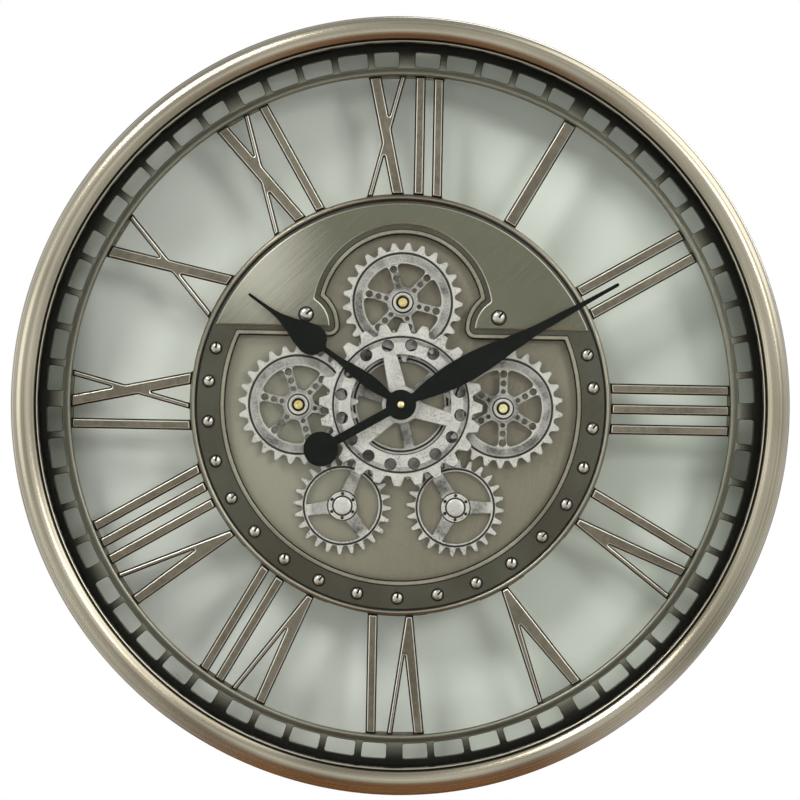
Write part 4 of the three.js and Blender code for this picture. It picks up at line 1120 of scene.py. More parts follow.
@dataclass
class CaseShell(SubAssembly):
    """The case band, the rolled bezel and the glazing."""

    case_r: float = 260.0
    wall: float = 1.6
    flange_r: float = 252.0
    seat_r: float = 237.1
    bezel_r: float = 254.0
    neck_r: float = 251.5
    lip_r: float = 237.4
    bead_r: float = 0.58
    bead_rise: float = 2.6
    front_roll: float = 2.6
    rear_roll: float = 1.6
    cove_r: float = 2.4
    facets: int = 240

    def build(self) -> None:
        """Builds the case from the wall forwards."""
        self._band()
        self._bezel()
        self.dress(GLASS, "glass")
        self.dress(BLACK_TRIM, "spacer_ring", "glass_gasket")

    def _band(self) -> None:
        """The drum with its rolled rear flange, a bead round its front and the dial's seat."""
        back, front = levels("case_band")
        outer, inner = self.case_r, self.case_r - self.wall
        roll = self.front_roll
        bead = [(outer - roll + x, y) for x, y in arc(roll, -40, 90, 10, (0.0, front - roll))]
        profile = [
            (self.flange_r, back + 0.5), (self.flange_r + 0.5, back),
            *arc(self.rear_roll, -90, 0, 6, (outer - self.rear_roll, back + self.rear_roll)),
            (outer, front - 7.4), (outer - 0.7, front - 6.9), (outer - 0.9, front - 6.2),
            *bead,
            (self.seat_r, front), (self.seat_r, front - self.wall), (inner, front - self.wall),
            (inner, back + self.wall), (self.flange_r, back + self.wall),
        ]
        piece = self.bench.lathe("case_drum", profile, self.facets)
        self.settle(piece, Body.CASE, Slot.CASE_METAL, CASE_METAL, "case_band")

    def _bezel(self) -> None:
        """The rolled ring: neck, cove, round crest with two fine steps, and the lip with its bead."""
        back, crest = levels("bezel_ring")
        roll = (self.bezel_r - self.lip_r) / 2
        middle = self.bezel_r - roll
        height = crest - roll
        outer_roll = arc(roll, 0, 62, 10, (middle, height))
        crown = arc(roll - 0.45, 66, 128, 10, (middle, height + 0.42))
        inner_roll = arc(roll, 134, 146, 4, (middle, height))
        bead = arc(self.bead_r, 20, 180, 8, (self.lip_r + self.bead_r, height + self.bead_rise))
        hollow = arc(roll - self.wall, 180, 0, 14, (middle, height))
        profile = [
            (self.neck_r - 0.2, back), (self.neck_r, back + 0.2), (self.neck_r, back + 2.0),
            *arc(self.cove_r, 180, 90, 6, (self.neck_r + self.cove_r, back + 2.2))[1:-1],
            (self.bezel_r - 0.2, back + 4.6), (self.bezel_r, back + 4.9),
            (self.bezel_r, height - 9.0), (self.bezel_r - 0.7, height - 8.6), (self.bezel_r - 0.7, height - 7.8),
            (self.bezel_r, height - 7.4),
            *outer_roll, *crown, *inner_roll, (self.lip_r + 1.35, height + self.bead_rise), *bead,
            (self.lip_r, height - 1.6), (self.lip_r + 0.3, height - 2.0), (self.lip_r, height - 2.4),
            (self.lip_r + 0.2, height - 2.8), (self.lip_r + self.wall, height - 2.8),
            *hollow,
            (self.bezel_r - self.wall, back + 6.0), (self.neck_r - self.wall, back + 3.6),
            (self.neck_r - self.wall, back),
        ]
        piece = self.bench.lathe("bezel_roll", profile, self.facets)
        self.settle(piece, Body.CASE, Slot.CASE_METAL, CASE_METAL, "bezel_ring")


@dataclass
class OpenDial(SubAssembly):
    """The chapter ring with its windows and the twelve numerals."""

    outer_r: float = 247.7
    inner_r: float = 219.3
    window_r: Point = (225.0, 235.0)
    minute_post: float = 4.6
    hour_post: float = 11.0
    head_r: float = 218.9
    foot_r: float = 140.3
    bar_w: float = 6.8
    pair_w: float = 7.4
    lone_w: float = 9.2
    x_w: Point = (8.2, 4.0)
    v_w: Point = (7.0, 3.8)
    v_foot: Point = (-3.8, 1.3)
    v_notch: float = 26.0
    narrow: float = 12.4
    wide: float = 16.5
    edge: tuple[Point, ...] = ((0.9, 1.1), (0.6, 0.3))
    head_strip: Point = (1.1, 2.4)
    foot_strip: Point = (3.4, 0.35)
    strip_t: float = 1.5
    window_ease: float = 1.6
    lip_r: float = 1.7
    facets: int = 180
    lip_facets: int = 240

    def build(self) -> None:
        """Builds the chapter ring, then the numerals."""
        self._chapter_ring()
        for hour, letters in self._letters().items():
            self._numeral(hour, letters)

    def _chapter_ring(self) -> None:
        """The flat ring with sixty rounded windows, and the round bead of its inner edge."""
        back, front = levels("chapter_ring")
        low, high = self.window_r
        middle = (low + high) / 2

        def post(mark: int) -> float:
            """Half the angle of the post at a minute mark."""
            return math.degrees((self.hour_post if mark % 5 == 0 else self.minute_post) / 2 / middle)

        windows = []
        for mark in range(60):
            start, end = mark * 6 + post(mark), (mark + 1) * 6 - post(mark + 1)
            window = arc(low, end, start, 3)[::-1] + arc(high, end, start, 3)
            windows.append(eased(window, self.window_ease))
        inner = self.inner_r
        holes = [circle(inner + 1.5, self.facets), *windows]
        plate = self.bench.plate(
            "chapter_plate", circle(self.outer_r, self.facets), back, front, holes, ((0.5, 0.4),),
        )
        bead = [
            (inner + 0.3, back), (inner + 5.2, back), (inner + 5.2, front - 0.1), (inner + 4.2, front + 0.15),
            *arc(self.lip_r, 75, 180, 8, (inner + self.lip_r, front - 0.9)), (inner, back + 0.3),
        ]
        lip = self.bench.lathe("chapter_lip", bead, self.lip_facets)
        piece = self.bench.join("chapter_plate", [plate, lip])
        self.settle(piece, Body.CASE, Slot.DIAL_METAL, CHAPTER_METAL, "chapter_ring")

    @staticmethod
    def _end(x: float, radius: float) -> Point:
        """The point of a numeral's end circle at a place across it."""
        return x, math.sqrt(radius * radius - x * x)

    def _stroke(self, head: float, foot: float, width: float) -> Outline:
        """A straight stroke.

        Args:
            head: Middle of its head, across the numeral.
            foot: Middle of its foot.
            width: Its width.

        Returns:
            Its corners, from the foot's left one round to the head's left one.
        """
        half = width / 2
        return [
            self._end(foot - half, self.foot_r), self._end(foot + half, self.foot_r),
            self._end(head + half, self.head_r), self._end(head - half, self.head_r),
        ]

    def _x(self, middle: float, half: float) -> Outline:
        """The letter X: a thick stroke crossed by a thin one.

        Args:
            middle: Its middle, across the numeral.
            half: Half its width.

        Returns:
            Its outline.
        """
        thick, thin = half - self.x_w[0] / 2, half - self.x_w[1] / 2
        a, b, c, d = self._stroke(middle - thick, middle + thick, self.x_w[0])
        e, f, g, h = self._stroke(middle + thin, middle - thin, self.x_w[1])
        return [
            e, f, crossing(f, g, a, d), a, b, crossing(b, c, f, g), g, h, crossing(h, e, b, c), c, d,
            crossing(d, a, h, e),
        ]

    def _v(self, middle: float, half: float) -> Outline:
        """The letter V, its left stroke the thick one.

        Args:
            middle: Its middle, across the numeral.
            half: Half its width.

        Returns:
            Its outline.
        """
        left, right = middle - half, middle + half
        return [
            self._end(middle + self.v_foot[0], self.foot_r), self._end(middle + self.v_foot[1], self.foot_r),
            self._end(right, self.head_r), self._end(right - self.v_w[1], self.head_r),
            (middle + self.v_foot[1], self.foot_r + self.v_notch),
            self._end(left + self.v_w[0], self.head_r), self._end(left, self.head_r),
        ]

    def _bars(self, *places: float, width: Optional[float] = None) -> list[Outline]:
        """The letters I at some places across the numeral."""
        return [self._stroke(x, x, width or self.bar_w) for x in places]

    def _letters(self) -> dict[int, list[Outline]]:
        """Sets out the letters of each numeral.

        Returns:
            The letters by hour, upright, round the line through twelve o'clock.
        """
        n, w = self.narrow, self.wide
        return {
            1: self._bars(0.0, width=self.lone_w),
            2: self._bars(-8.5, 8.5, width=self.pair_w),
            3: self._bars(-13.5, 0.0, 13.5),
            4: [*self._bars(-16.0), self._v(7.0, n)],
            5: [self._v(0.0, w)],
            6: [self._v(-7.0, n), *self._bars(16.0)],
            7: [self._v(-12.8, n), *self._bars(9.2, 21.4)],
            8: [self._v(-19.2, n), *self._bars(3.4, 15.6, 27.8)],
            9: [*self._bars(-16.0), self._x(7.0, n)],
            10: [self._x(0.0, w)],
            11: [self._x(-7.0, n), *self._bars(16.0)],
            12: [self._x(-12.8, n), *self._bars(9.2, 21.4)],
        }

    def _numeral(self, hour: int, letters: list[Outline]) -> None:
        """Raises a numeral's letters, with the two strips behind them that join their ends.

        Args:
            hour: The hour that it marks.
            letters: Its letters, upright.
        """
        node = f"numeral_{hour:02d}"
        back, front = levels(node)
        turn = -30.0 * hour
        spread = max(abs(x) for letter in letters for x, _ in letter)
        parts = []
        for letter in letters:
            outline = turned(eased(letter, 0.0, 1.5), turn)
            parts.append(self.bench.plate(node, outline, back, front, (), self.edge, Cap.FACE))
        head = (self.head_r - self.head_strip[0], self.inner_r + self.head_strip[1])
        foot = (self.foot_r - self.foot_strip[0], self.foot_r + self.foot_strip[1])
        for inner, outer in (head, foot):
            half = math.degrees(math.asin(min(spread, inner * 0.9) / inner))
            strip = arc(outer, 90 - half, 90 + half, 8) + arc(inner, 90 + half, 90 - half, 8)
            strip = turned(strip, turn)
            parts.append(self.bench.plate(node, strip, back, back + self.strip_t, (), ((0.2, 0.2),)))
        piece = self.bench.join(f"letters_{hour:02d}", parts)
        self.settle(piece, Body.CASE, Slot.DIAL_METAL, LETTER_METAL, node)


@dataclass
class CentreDisc(SubAssembly):
    """The disc in the middle: bright rim, dark screwed band, ridged border and brushed top sheet."""

    rim_r: Point = (136.5, 140.0)
    band_r: float = 136.2
    well_r: float = 117.5
    sheet_r: float = 134.0
    chord: float = 51.4
    arch: Point = (60.7, 59.5)
    tab_x: float = 48.4
    tab_r: float = 20.8
    well_inset: float = 6.1
    ridge: Trio = (6.1, 3.7, 0.8)
    liner: Point = (6.9, 2.9)
    rim_gap: Point = (135.4, 136.6)
    screw_r: float = 128.5
    tab_screw: Point = (64.0, 59.0)
    tab_turns: Point = (-50.0, -38.0)
    band_screw_r: float = 3.5
    tab_screw_r: float = 4.4
    # Reach of the black ring round each screw head, inside and outside its rim; the ring stands in for the shadow
    # round the head.
    shadow_ring: Point = (0.3, 0.9)
    sheet_gap: float = 0.3
    screw_pitch: float = 12.0
    upper_screws: Point = (164.0, 16.0)
    band_screw_h: float = 1.8
    screw_foot: float = 0.4
    slot_share: Point = (0.17, 1.3)
    slot_floor: float = 0.15
    # Height above the level a screw stands on, below which its slot is painted dark as shade.
    slot_shade: float = 0.3
    facets: int = 200
    screw_facets: int = 28

    def build(self) -> None:
        """Builds the disc from its rim inwards."""
        self._rim()
        self._band()
        self._border()
        self._sheet()
        self._screws()
        self.dress(GEAR_BED, "gear_plate")

    def _face(self) -> float:
        """Level of the dark band's face, just behind the top sheet."""
        return levels("top_plate")[0] - self.sheet_gap

    def _rim(self) -> None:
        """The rounded bright rim."""
        back, front = levels("disc_rim")
        inner, outer = self.rim_r
        profile = [
            (inner, back), (outer, back), (outer, front - 2.6), (outer - 0.6, front - 2.2),
            *arc(1.4, -10, 180, 12, (inner + 1.5, front - 1.4)), (inner, front - 2.4),
        ]
        piece = self.bench.lathe("disc_bead", profile, self.facets)
        self.settle(piece, Body.CASE, Slot.DIAL_METAL, RIM_METAL, "disc_rim")

    def _edge(self, inset: float, radius: float) -> Outline:
        """The well's upper edge from left to right, a distance inside the top sheet's edge.

        Args:
            inset: The distance.
            radius: The circle that the edge ends on.

        Returns:
            The points of the edge.
        """
        chord = self.chord - inset
        tab, arch = (-self.tab_x - self.tab_r, self.chord), (0.0, self.arch[0])
        tab_r, arch_r = self.tab_r + inset, self.arch[1] - inset
        dx, dy = arch[0] - tab[0], arch[1] - tab[1]
        distance = math.hypot(dx, dy)
        reach = (distance**2 + tab_r**2 - arch_r**2) / (2 * distance)
        rise = math.sqrt(tab_r**2 - reach**2)
        cusp = (tab[0] + (dx * reach - dy * rise) / distance, tab[1] + (dy * reach + dx * rise) / distance)
        tab_end = math.degrees(math.atan2(cusp[1] - tab[1], cusp[0] - tab[0]))
        arch_start = math.degrees(math.atan2(cusp[1] - arch[1], cusp[0] - arch[0]))
        corner = arc(inset, -90, 0, 8, (-self.tab_x, self.chord)) if inset else [(-self.tab_x, self.chord)]
        left = [(-math.sqrt(radius**2 - chord**2), chord), *corner, *arc(tab_r, 0, tab_end, 14, tab)[1:]]
        top = arc(arch_r, arch_start, 180 - arch_start, 56, arch)[1:-1]
        return left + top + [(-x, y) for x, y in reversed(left)]

    def _well(self, inset: float, radius: float) -> Outline:
        """The closed outline of the well, or of a line round it.

        Args:
            inset: Its distance inside the top sheet's edge.
            radius: The circle that it follows below.

        Returns:
            The outline.
        """
        edge = self._edge(inset, radius)
        start = math.degrees(math.asin(edge[0][1] / radius))
        below = arc(radius, start, -180 - start, 120)[1:-1]
        return eased((edge + below)[::-1], 1.0)

    def _band(self) -> None:
        """The dark band with the well cut out of it."""
        back, front = levels("rivet_band")[0], self._face()
        well = self._well(self.well_inset, self.well_r)
        disc = circle(self.band_r, self.facets)
        piece = self.bench.plate("dark_band", disc, back, front, [well], ((0.25, 0.25),))
        self.settle(piece, Body.CASE, Slot.BAND_PAINT, BAND_PAINT, "rivet_band")

    def _frame(self, name: str, inner: float, outer: float, back: float, front: float) -> Piece:
        """A strip that runs round the well.

        Args:
            name: Name of the strip.
            inner: Distance of its inner edge inside the top sheet's edge.
            outer: The same for its outer edge.
            back: Level of its back.
            front: Level of its front.

        Returns:
            The strip.
        """
        reach = self.well_r + self.well_inset
        outside, inside = self._well(outer, reach - outer), self._well(inner, reach - inner)
        return self.bench.plate(name, outside, back, front, [inside], ((0.35, 0.3),))

    def _border(self) -> None:
        """The light ridge round the well, on a black liner, and the black line inside the rim."""
        front = self._face()
        inner, outer, height = self.ridge
        ridge = self._frame("well_border", inner, outer, front - 2.0, front + height)
        self.settle(ridge, Body.CASE, Slot.DIAL_METAL, BORDER_METAL)
        liner = self._frame("liner", *self.liner, front - 1.6, front + 0.12)
        low, high = self.rim_gap
        profile = [(low, front - 0.6), (high, front - 0.6), (high, front + 0.15), (low, front + 0.12)]
        ring = self.bench.lathe("rim_line", profile, self.facets)
        self.settle(self.bench.join("dark_liners", [liner, ring]), Body.CASE, Slot.BLACK_PLASTIC, BLACK_TRIM)

    def _sheet(self) -> None:
        """The brushed sheet over the upper part of the band, its edge broken all round."""
        back, front = levels("top_plate")
        edge = self._edge(0.0, self.sheet_r)
        start = math.degrees(math.asin(edge[0][1] / self.sheet_r))
        outline = eased(edge + arc(self.sheet_r, start, 180 - start, 90)[1:-1], 0.0, 1.6)
        piece = self.bench.plate("brushed_sheet", outline, back, front, (), ((0.8, 0.55),))
        self.settle(piece, Body.CASE, Slot.DIAL_METAL, TOP_SHEET, "top_plate")

    def _screw(self, name: str, radius: float, height: float, level: float) -> Piece:
        """A slotted dome screw at the dial's centre.

        Args:
            name: Name of the screw.
            radius: Radius of its head.
            height: Height of its head.
            level: Level that it stands on.

        Returns:
            The screw.
        """
        foot = level + self.screw_foot
        sunk = level - 0.6
        profile = [(0.0, sunk), (radius, sunk), *dome(radius, foot, height), (0.0, foot + height)]
        screw = self.bench.lathe(name, profile, self.screw_facets, run=Run.SOLID)
        half, reach = radius * self.slot_share[0], radius * self.slot_share[1]
        slot = [(-half, 0.0), (half, 0.0), (half, reach), (-half, reach)]
        tool = self.bench.plate("slot", slot, level + self.slot_floor, level + height * 2, (), ((0.05, 0.05),))
        return self.bench.cut(screw, tool)

    def _shadow_ring(self, head: float, level: float) -> Piece:
        """A thin black ring under a screw's head, at the dial's centre, put there as painted shade round the head.

        Args:
            head: Radius of the head.
            level: Level that the ring lies on.

        Returns:
            The ring.
        """
        inner, outer = head - self.shadow_ring[0], head + self.shadow_ring[1]
        profile = [(inner, level - 0.1), (outer, level - 0.1), (outer, level + 0.12), (inner, level + 0.16)]
        return self.bench.lathe("shadow_ring", profile, self.screw_facets)

    def _screws(self) -> None:
        """Nineteen screws along the band and two on the sheet's tabs, each in a thin black ring that stands in for
        the shadow round its head.
        """
        front, sheet = self._face(), levels("top_plate")[1]
        angles = [-90 + self.screw_pitch * k for k in range(-8, 9)] + [*self.upper_screws]
        places = [polar(self.screw_r, angle) for angle in angles]
        # The slots stand as the screws stopped: between 45 degrees one way and a few the other.
        spots = [moved(*place, (i * 67) % 50 - 45) for i, place in enumerate(places)]
        screws = self.bench.spread(self._screw("screw", self.band_screw_r, self.band_screw_h, front), spots)
        # The slots' floors are painted dark as shade.
        steel = replace(SCREW_STEEL, name="band_screw_steel", sunk=front + self.slot_shade)
        self.settle(self.bench.join("band_screws", screws), Body.CASE, Slot.STEEL, steel)
        shadow_rings = self.bench.spread(self._shadow_ring(self.band_screw_r, front), [moved(*place) for place in places])
        x, y = self.tab_screw
        places = [(-x, y), (x, y)]
        spots = [moved(*place, turn) for place, turn in zip(places, self.tab_turns)]
        height = levels("top_plate_screw_left")[1] - sheet - self.screw_foot
        screws = self.bench.spread(self._screw("tab_screw", self.tab_screw_r, height, sheet), spots)
        # The slots' floors are painted dark as shade.
        steel = replace(SCREW_STEEL, name="tab_screw_steel", sunk=sheet + self.slot_shade)
        for side, screw in zip(("left", "right"), screws):
            piece = self.bench.join(f"tab_screw_{side}", [screw])
            self.settle(piece, Body.CASE, Slot.STEEL, steel, f"top_plate_screw_{side}")
        shadow_rings += self.bench.spread(self._shadow_ring(self.tab_screw_r, sheet), [moved(*place) for place in places])
        self.settle(self.bench.join("screw_shadow_rings", shadow_rings), Body.CASE, Slot.BLACK_PLASTIC, BLACK_TRIM)


@dataclass
class ShowGear(SubAssembly):
    """One toothed show gear: a base wheel with raised rings, drawn about its own centre."""

    name: str
    node: str
    body: Body
    centre: Point
    teeth: int
    tip_r: float
    root_r: float
    tooth: Point
    tooth_at: float
    rim_r: float
    hub_r: float
    spokes: int
    spoke_at: float
    spoke_w: Point
    bore_r: float
    groove_r: Point
    spoke_rise: float = 0.0
    hub_fillet: float = 3.0
    rim_holes: HoleRing = HoleRing(0, 0.0, 0.0, 0.0)
    spoke_holes: tuple[Point, ...] = ()
    grooves: tuple[Point, ...] = ()
    stain: tuple[Point, ...] = ()
    speckle: float = 0.6
    drilled: tuple[HoleRing, ...] = ()
    sunk: float = 0.7
    overlap: float = 0.3
    hub_h: float = 0.0

    def _teeth(self) -> Outline:
        """Draws the teeth.

        Returns:
            The toothed outline, with eased tips and roots.
        """
        pitch = 360 / self.teeth
        points = []
        for i in range(self.teeth):
            middle = self.tooth_at + i * pitch
            for radius, share in ((self.root_r, -self.tooth[0]), (self.tip_r, -self.tooth[1]),
                                  (self.tip_r, self.tooth[1]), (self.root_r, self.tooth[0])):
                points.append(polar(radius, middle + share * pitch / 2))
        return eased(points, 0.9, 0.9)

    def _windows(self) -> list[Outline]:
        """Draws the openings between the spokes.

        Returns:
            Their outlines.
        """
        at_rim = math.degrees(math.asin(self.spoke_w[0] / 2 / self.rim_r))
        at_hub = math.degrees(math.asin(self.spoke_w[1] / 2 / self.hub_r))
        pitch = 360 / self.spokes
        made = []
        for i in range(self.spokes):
            start = self.spoke_at + i * pitch
            rim = arc(self.rim_r, start + at_rim, start + pitch - at_rim, 18)
            hub = arc(self.hub_r, start + pitch - at_hub, start + at_hub, 8)
            made.append(eased(rim + hub, self.hub_fillet))
        return made

    def _holes(self) -> list[Outline]:
        """Draws the round holes.

        Returns:
            Those of the rim, then those of the spokes.
        """
        count, distance, radius, start = self.rim_holes
        made = [circle(radius, 20, polar(distance, start + i * 360 / count)) for i in range(count)]
        for i in range(self.spokes):
            for distance, radius in self.spoke_holes:
                made.append(circle(radius, 12, polar(distance, self.spoke_at + i * 360 / self.spokes)))
        return made

    def _rings(self, back: float, front: float) -> list[Piece]:
        """The base wheel, then the toothed ring and the rim band raised on it, a groove apart.

        Args:
            back: Level of the wheel's back.
            front: Level of its raised rings.

        Returns:
            The parts of the wheel.
        """
        teeth, holes = self._teeth(), self._holes()
        bore = circle(self.bore_r, 24)
        base = front - self.sunk
        seat = base - self.overlap
        low, high = self.groove_r
        band_holes = [circle(self.rim_r, 96), *holes[:self.rim_holes.count]]
        parts = [
            self.bench.plate(self.name, teeth, back, base, [bore, *self._windows(), *holes], ((0.2, 0.2),)),
            self.bench.plate(self.name, teeth, seat, front, [circle(high, 120)], ((0.45, 0.4),)),
            self.bench.plate(self.name, circle(low, 120), seat, front - 0.05, band_holes, ((0.4, 0.4),)),
        ]
        if self.spoke_rise:
            outer, inner = self.rim_r + 0.6, self.hub_r - 1.0
            rim_half, hub_half = self.spoke_w[0] / 2 - 0.2, self.spoke_w[1] / 2 - 0.2
            spoke = [(inner, -hub_half), (outer, -rim_half), (outer, rim_half), (inner, hub_half)]
            model = self.bench.plate("spoke", spoke, seat, base + self.spoke_rise, (), ((0.5, 0.4),))
            turns = [self.spoke_at + i * 360 / self.spokes for i in range(self.spokes)]
            parts += self.bench.spread(model, [moved(0.0, 0.0, turn) for turn in turns])
        return parts

    def build(self, *extra: Piece) -> None:
        """Builds the gear, adds its hub pieces and moves it to its centre.

        Args:
            extra: Hub pieces, drawn about the dial's centre.
        """
        back, front = levels(self.node)
        parts = self._rings(back, front - self.hub_h) + list(extra)
        piece = self.bench.join(self.name, parts)
        piece.data.transform(moved(*self.centre))
        finish = AgedSilver(
            self.name + "_silver", SILVER, SOOT_AND_SHADE, rough=0.42, metal=0.45, centre=self.centre, grooves=self.grooves,
            speckle=self.speckle, stain=self.stain, drilled=self.drilled,
        )
        self.settle(piece, self.body, Slot.GEAR_SILVER, finish, self.node)


@dataclass
class GearWork(SubAssembly):
    """The show gears in their well, with their collars and arbors."""

    module: float = 2.5
    lower_teeth: int = 38
    bottom_teeth: int = 24
    lower_tooth_at: float = 1.6
    side_distance: float = 68.0
    bottom_distance: float = 77.5
    bottom_spread: float = 29.0
    mesh_tooth: Point = (0.62, 0.24)
    upper_holes: HoleRing = HoleRing(16, 40.0, 3.7, 13.6)
    side_spokes: int = 6
    side_holes: tuple[Point, ...] = ((22.9, 2.1), (16.7, 1.7), (11.2, 1.25))
    side_hub_h: float = 1.7
    cap_r: float = 6.1

    def build(self) -> None:
        """Builds the centre gears, the three side gears and the two bottom gears."""
        self._lower()
        self._upper()
        for name, body, angle, tooth_at, spoke_at in (
            ("top", Body.TOP, 90.0, 13.4, -13.5),
            ("left", Body.LEFT, 181.0, 4.0, -12.0),
            ("right", Body.RIGHT, -1.0, 9.0, 30.0),
        ):
            self._side(name, body, polar(self.side_distance, angle), tooth_at, spoke_at)
        for name, body, angle, spoke_at in (
            ("bottom_left", Body.BOTTOM_LEFT, 270 - self.bottom_spread, 68.5),
            ("bottom_right", Body.BOTTOM_RIGHT, 270 + self.bottom_spread, 1.0),
        ):
            self._bottom(name, body, angle, spoke_at)
        self.dress(BRIGHT_STEEL, "center_tube")
        self.dress(
            WORKS_WHITE, "center_drive_wheel", "top_drive_pinion", "left_drive_pinion", "right_drive_pinion",
        )

    def _ring(self, inner: float, outer: float, back: float, front: float) -> Piece:
        """A plain ring with rounded front edges, about the dial's centre.

        Args:
            inner: Its inner radius.
            outer: Its outer radius.
            back: Level of its back.
            front: Level of its front.

        Returns:
            The ring.
        """
        ease = min(0.5, (outer - inner) / 3, (front - back) / 2)
        profile = [
            (inner, back), (outer, back), (outer, front - ease), (outer - ease, front), (inner + ease, front),
            (inner, front - ease),
        ]
        return self.bench.lathe("ring", profile, 64)

    def _lower(self) -> None:
        """The meshing centre gear behind: narrow spokes and a doubled inner ring."""
        root = self.module * (self.lower_teeth / 2 - 1.25)
        ShowGear(
            self.bench, "lower_gear", "lower_center_gear", Body.CENTER, (0.0, 0.0),
            teeth=self.lower_teeth, tip_r=self.module * (self.lower_teeth / 2 + 1), root_r=root,
            tooth=self.mesh_tooth, tooth_at=self.lower_tooth_at, rim_r=root - 15.4, hub_r=12.5, bore_r=7.3,
            spokes=3, spoke_at=-77.6, spoke_w=(7.0, 7.0), spoke_rise=0.35, hub_fillet=1.5, groove_r=(30.6, 31.5),
            grooves=((31.05, 0.9), (33.2, 0.5)), stain=((20.0, 12.0), (39.5, 5.5)), speckle=0.7,
        ).build()

    def _upper(self) -> None:
        """The large centre gear in front: sixteen rim holes and three broad spokes."""
        _, front = levels("upper_center_gear")
        hub = self._ring(9.4, 12.3, front - 0.9, front - 0.05)
        ShowGear(
            self.bench, "upper_gear", "upper_center_gear", Body.CENTER, (0.0, 0.0),
            teeth=24, tip_r=54.2, root_r=48.0, tooth=(0.74, 0.33), tooth_at=-1.4, rim_r=33.3, hub_r=12.5,
            bore_r=7.3, spokes=3, spoke_at=103.6, spoke_w=(9.2, 12.0), spoke_rise=0.6, hub_fillet=1.2,
            groove_r=(44.3, 45.4), rim_holes=self.upper_holes, drilled=(self.upper_holes,),
            grooves=((44.9, 0.95),), stain=((42.6, 1.9),), speckle=0.62,
        ).build(hub)

    def _side(self, name: str, body: Body, centre: Point, tooth_at: float, spoke_at: float) -> None:
        """A six-spoke gear with drilled spokes, its double collar and its brass arbor.

        Args:
            name: Which gear it is.
            body: What it rides on.
            centre: Its centre on the dial.
            tooth_at: Angle of a tooth.
            spoke_at: Angle of a spoke.
        """
        _, front = levels(f"{name}_gear")
        face = front - self.side_hub_h
        collar = self._ring(4.5, 6.7, face - 1.2, front)
        seat = self._ring(6.9, 9.2, face - 1.2, face - 0.25)
        ShowGear(
            self.bench, f"{name}_wheel", f"{name}_gear", body, centre,
            teeth=25, tip_r=39.9, root_r=35.0, tooth=(0.7, 0.22), tooth_at=tooth_at, rim_r=25.8, hub_r=10.3,
            bore_r=2.8, spokes=self.side_spokes, spoke_at=spoke_at, spoke_w=(5.6, 5.6), hub_fillet=3.4,
            groove_r=(32.1, 33.3), hub_h=self.side_hub_h, spoke_holes=self.side_holes,
            drilled=tuple(HoleRing(self.side_spokes, *hole, spoke_at) for hole in self.side_holes),
            grooves=((32.7, 1.05), (3.6, 1.1), (6.85, 0.6)), stain=((15.0, 10.5), (29.2, 3.6)),
        ).build(seat, collar)
        back, crown = levels(f"{name}_arbor")
        profile = [
            (0.0, back), (2.2, back), (2.5, back + 0.3), (2.5, face + 0.2), (3.0, face + 0.2), (3.0, crown - 0.5),
            (2.6, crown - 0.1), (1.6, crown), (1.3, crown - 0.25), (0.0, crown - 0.3),
        ]
        arbor = self.bench.lathe(f"{name}_spindle", profile, 32, centre, Run.SOLID)
        self.settle(arbor, body, Slot.ARBOR_BRASS, BRASS, f"{name}_arbor")

    def _bottom(self, name: str, body: Body, angle: float, spoke_at: float) -> None:
        """A three-spoke gear in mesh with the lower centre gear, with a pierced hub and a domed cap.

        Args:
            name: Which gear it is.
            body: What it rides on.
            angle: Its direction from the dial's centre.
            spoke_at: Angle of a spoke.
        """
        centre = polar(self.bottom_distance, angle)
        _, front = levels(f"{name}_gear")
        offset = (self.lower_tooth_at - angle) * self.lower_teeth / 360
        tooth_at = angle + 180 + (0.5 - offset) * 360 / self.bottom_teeth
        root = self.module * (self.bottom_teeth / 2 - 1.25)
        bore_r = 2.8
        holes = [circle(bore_r, 24), *[circle(1.0, 12, polar(8.0, 30 + 60 * i)) for i in range(6)]]
        flange = self.bench.plate("flange", circle(9.7, 48), front - 1.6, front, holes, ((0.35, 0.35),))
        ShowGear(
            self.bench, f"{name}_wheel", f"{name}_gear", body, centre,
            teeth=self.bottom_teeth, tip_r=self.module * (self.bottom_teeth / 2 + 1), root_r=root,
            tooth=self.mesh_tooth, tooth_at=tooth_at, rim_r=24.1, hub_r=9.9, bore_r=bore_r,
            spokes=3, spoke_at=spoke_at, spoke_w=(7.6, 9.4), spoke_rise=0.45, hub_fillet=1.0,
            groove_r=(25.4, 26.2), hub_h=1.0, drilled=(HoleRing(6, 8.0, 0.7, 30.0),),
            grooves=((25.8, 0.95), (6.4, 0.7), (9.9, 0.6)), stain=((16.0, 8.0),), speckle=0.8,
        ).build(flange)
        back, crown = levels(f"{name}_arbor")
        collar = levels("gear_plate")[0] - 0.3
        head = front + 0.3
        profile = [
            (0.0, back), (4.5, back), (4.5, collar), (2.5, collar), (2.5, head), (self.cap_r, head),
            *dome(self.cap_r, head + 0.3, crown - head - 0.3), (0.0, crown),
        ]
        arbor = self.bench.lathe(f"{name}_cap", profile, 40, centre, Run.SOLID)
        finish = AgedSilver(
            f"{name}_cap_silver", SILVER, SOOT_AND_SHADE, rough=0.4, metal=0.5, centre=centre, grooves=((6.0, 0.35),),
            speckle=0.6,
        )
        self.settle(arbor, body, Slot.STEEL, finish, f"{name}_arbor")


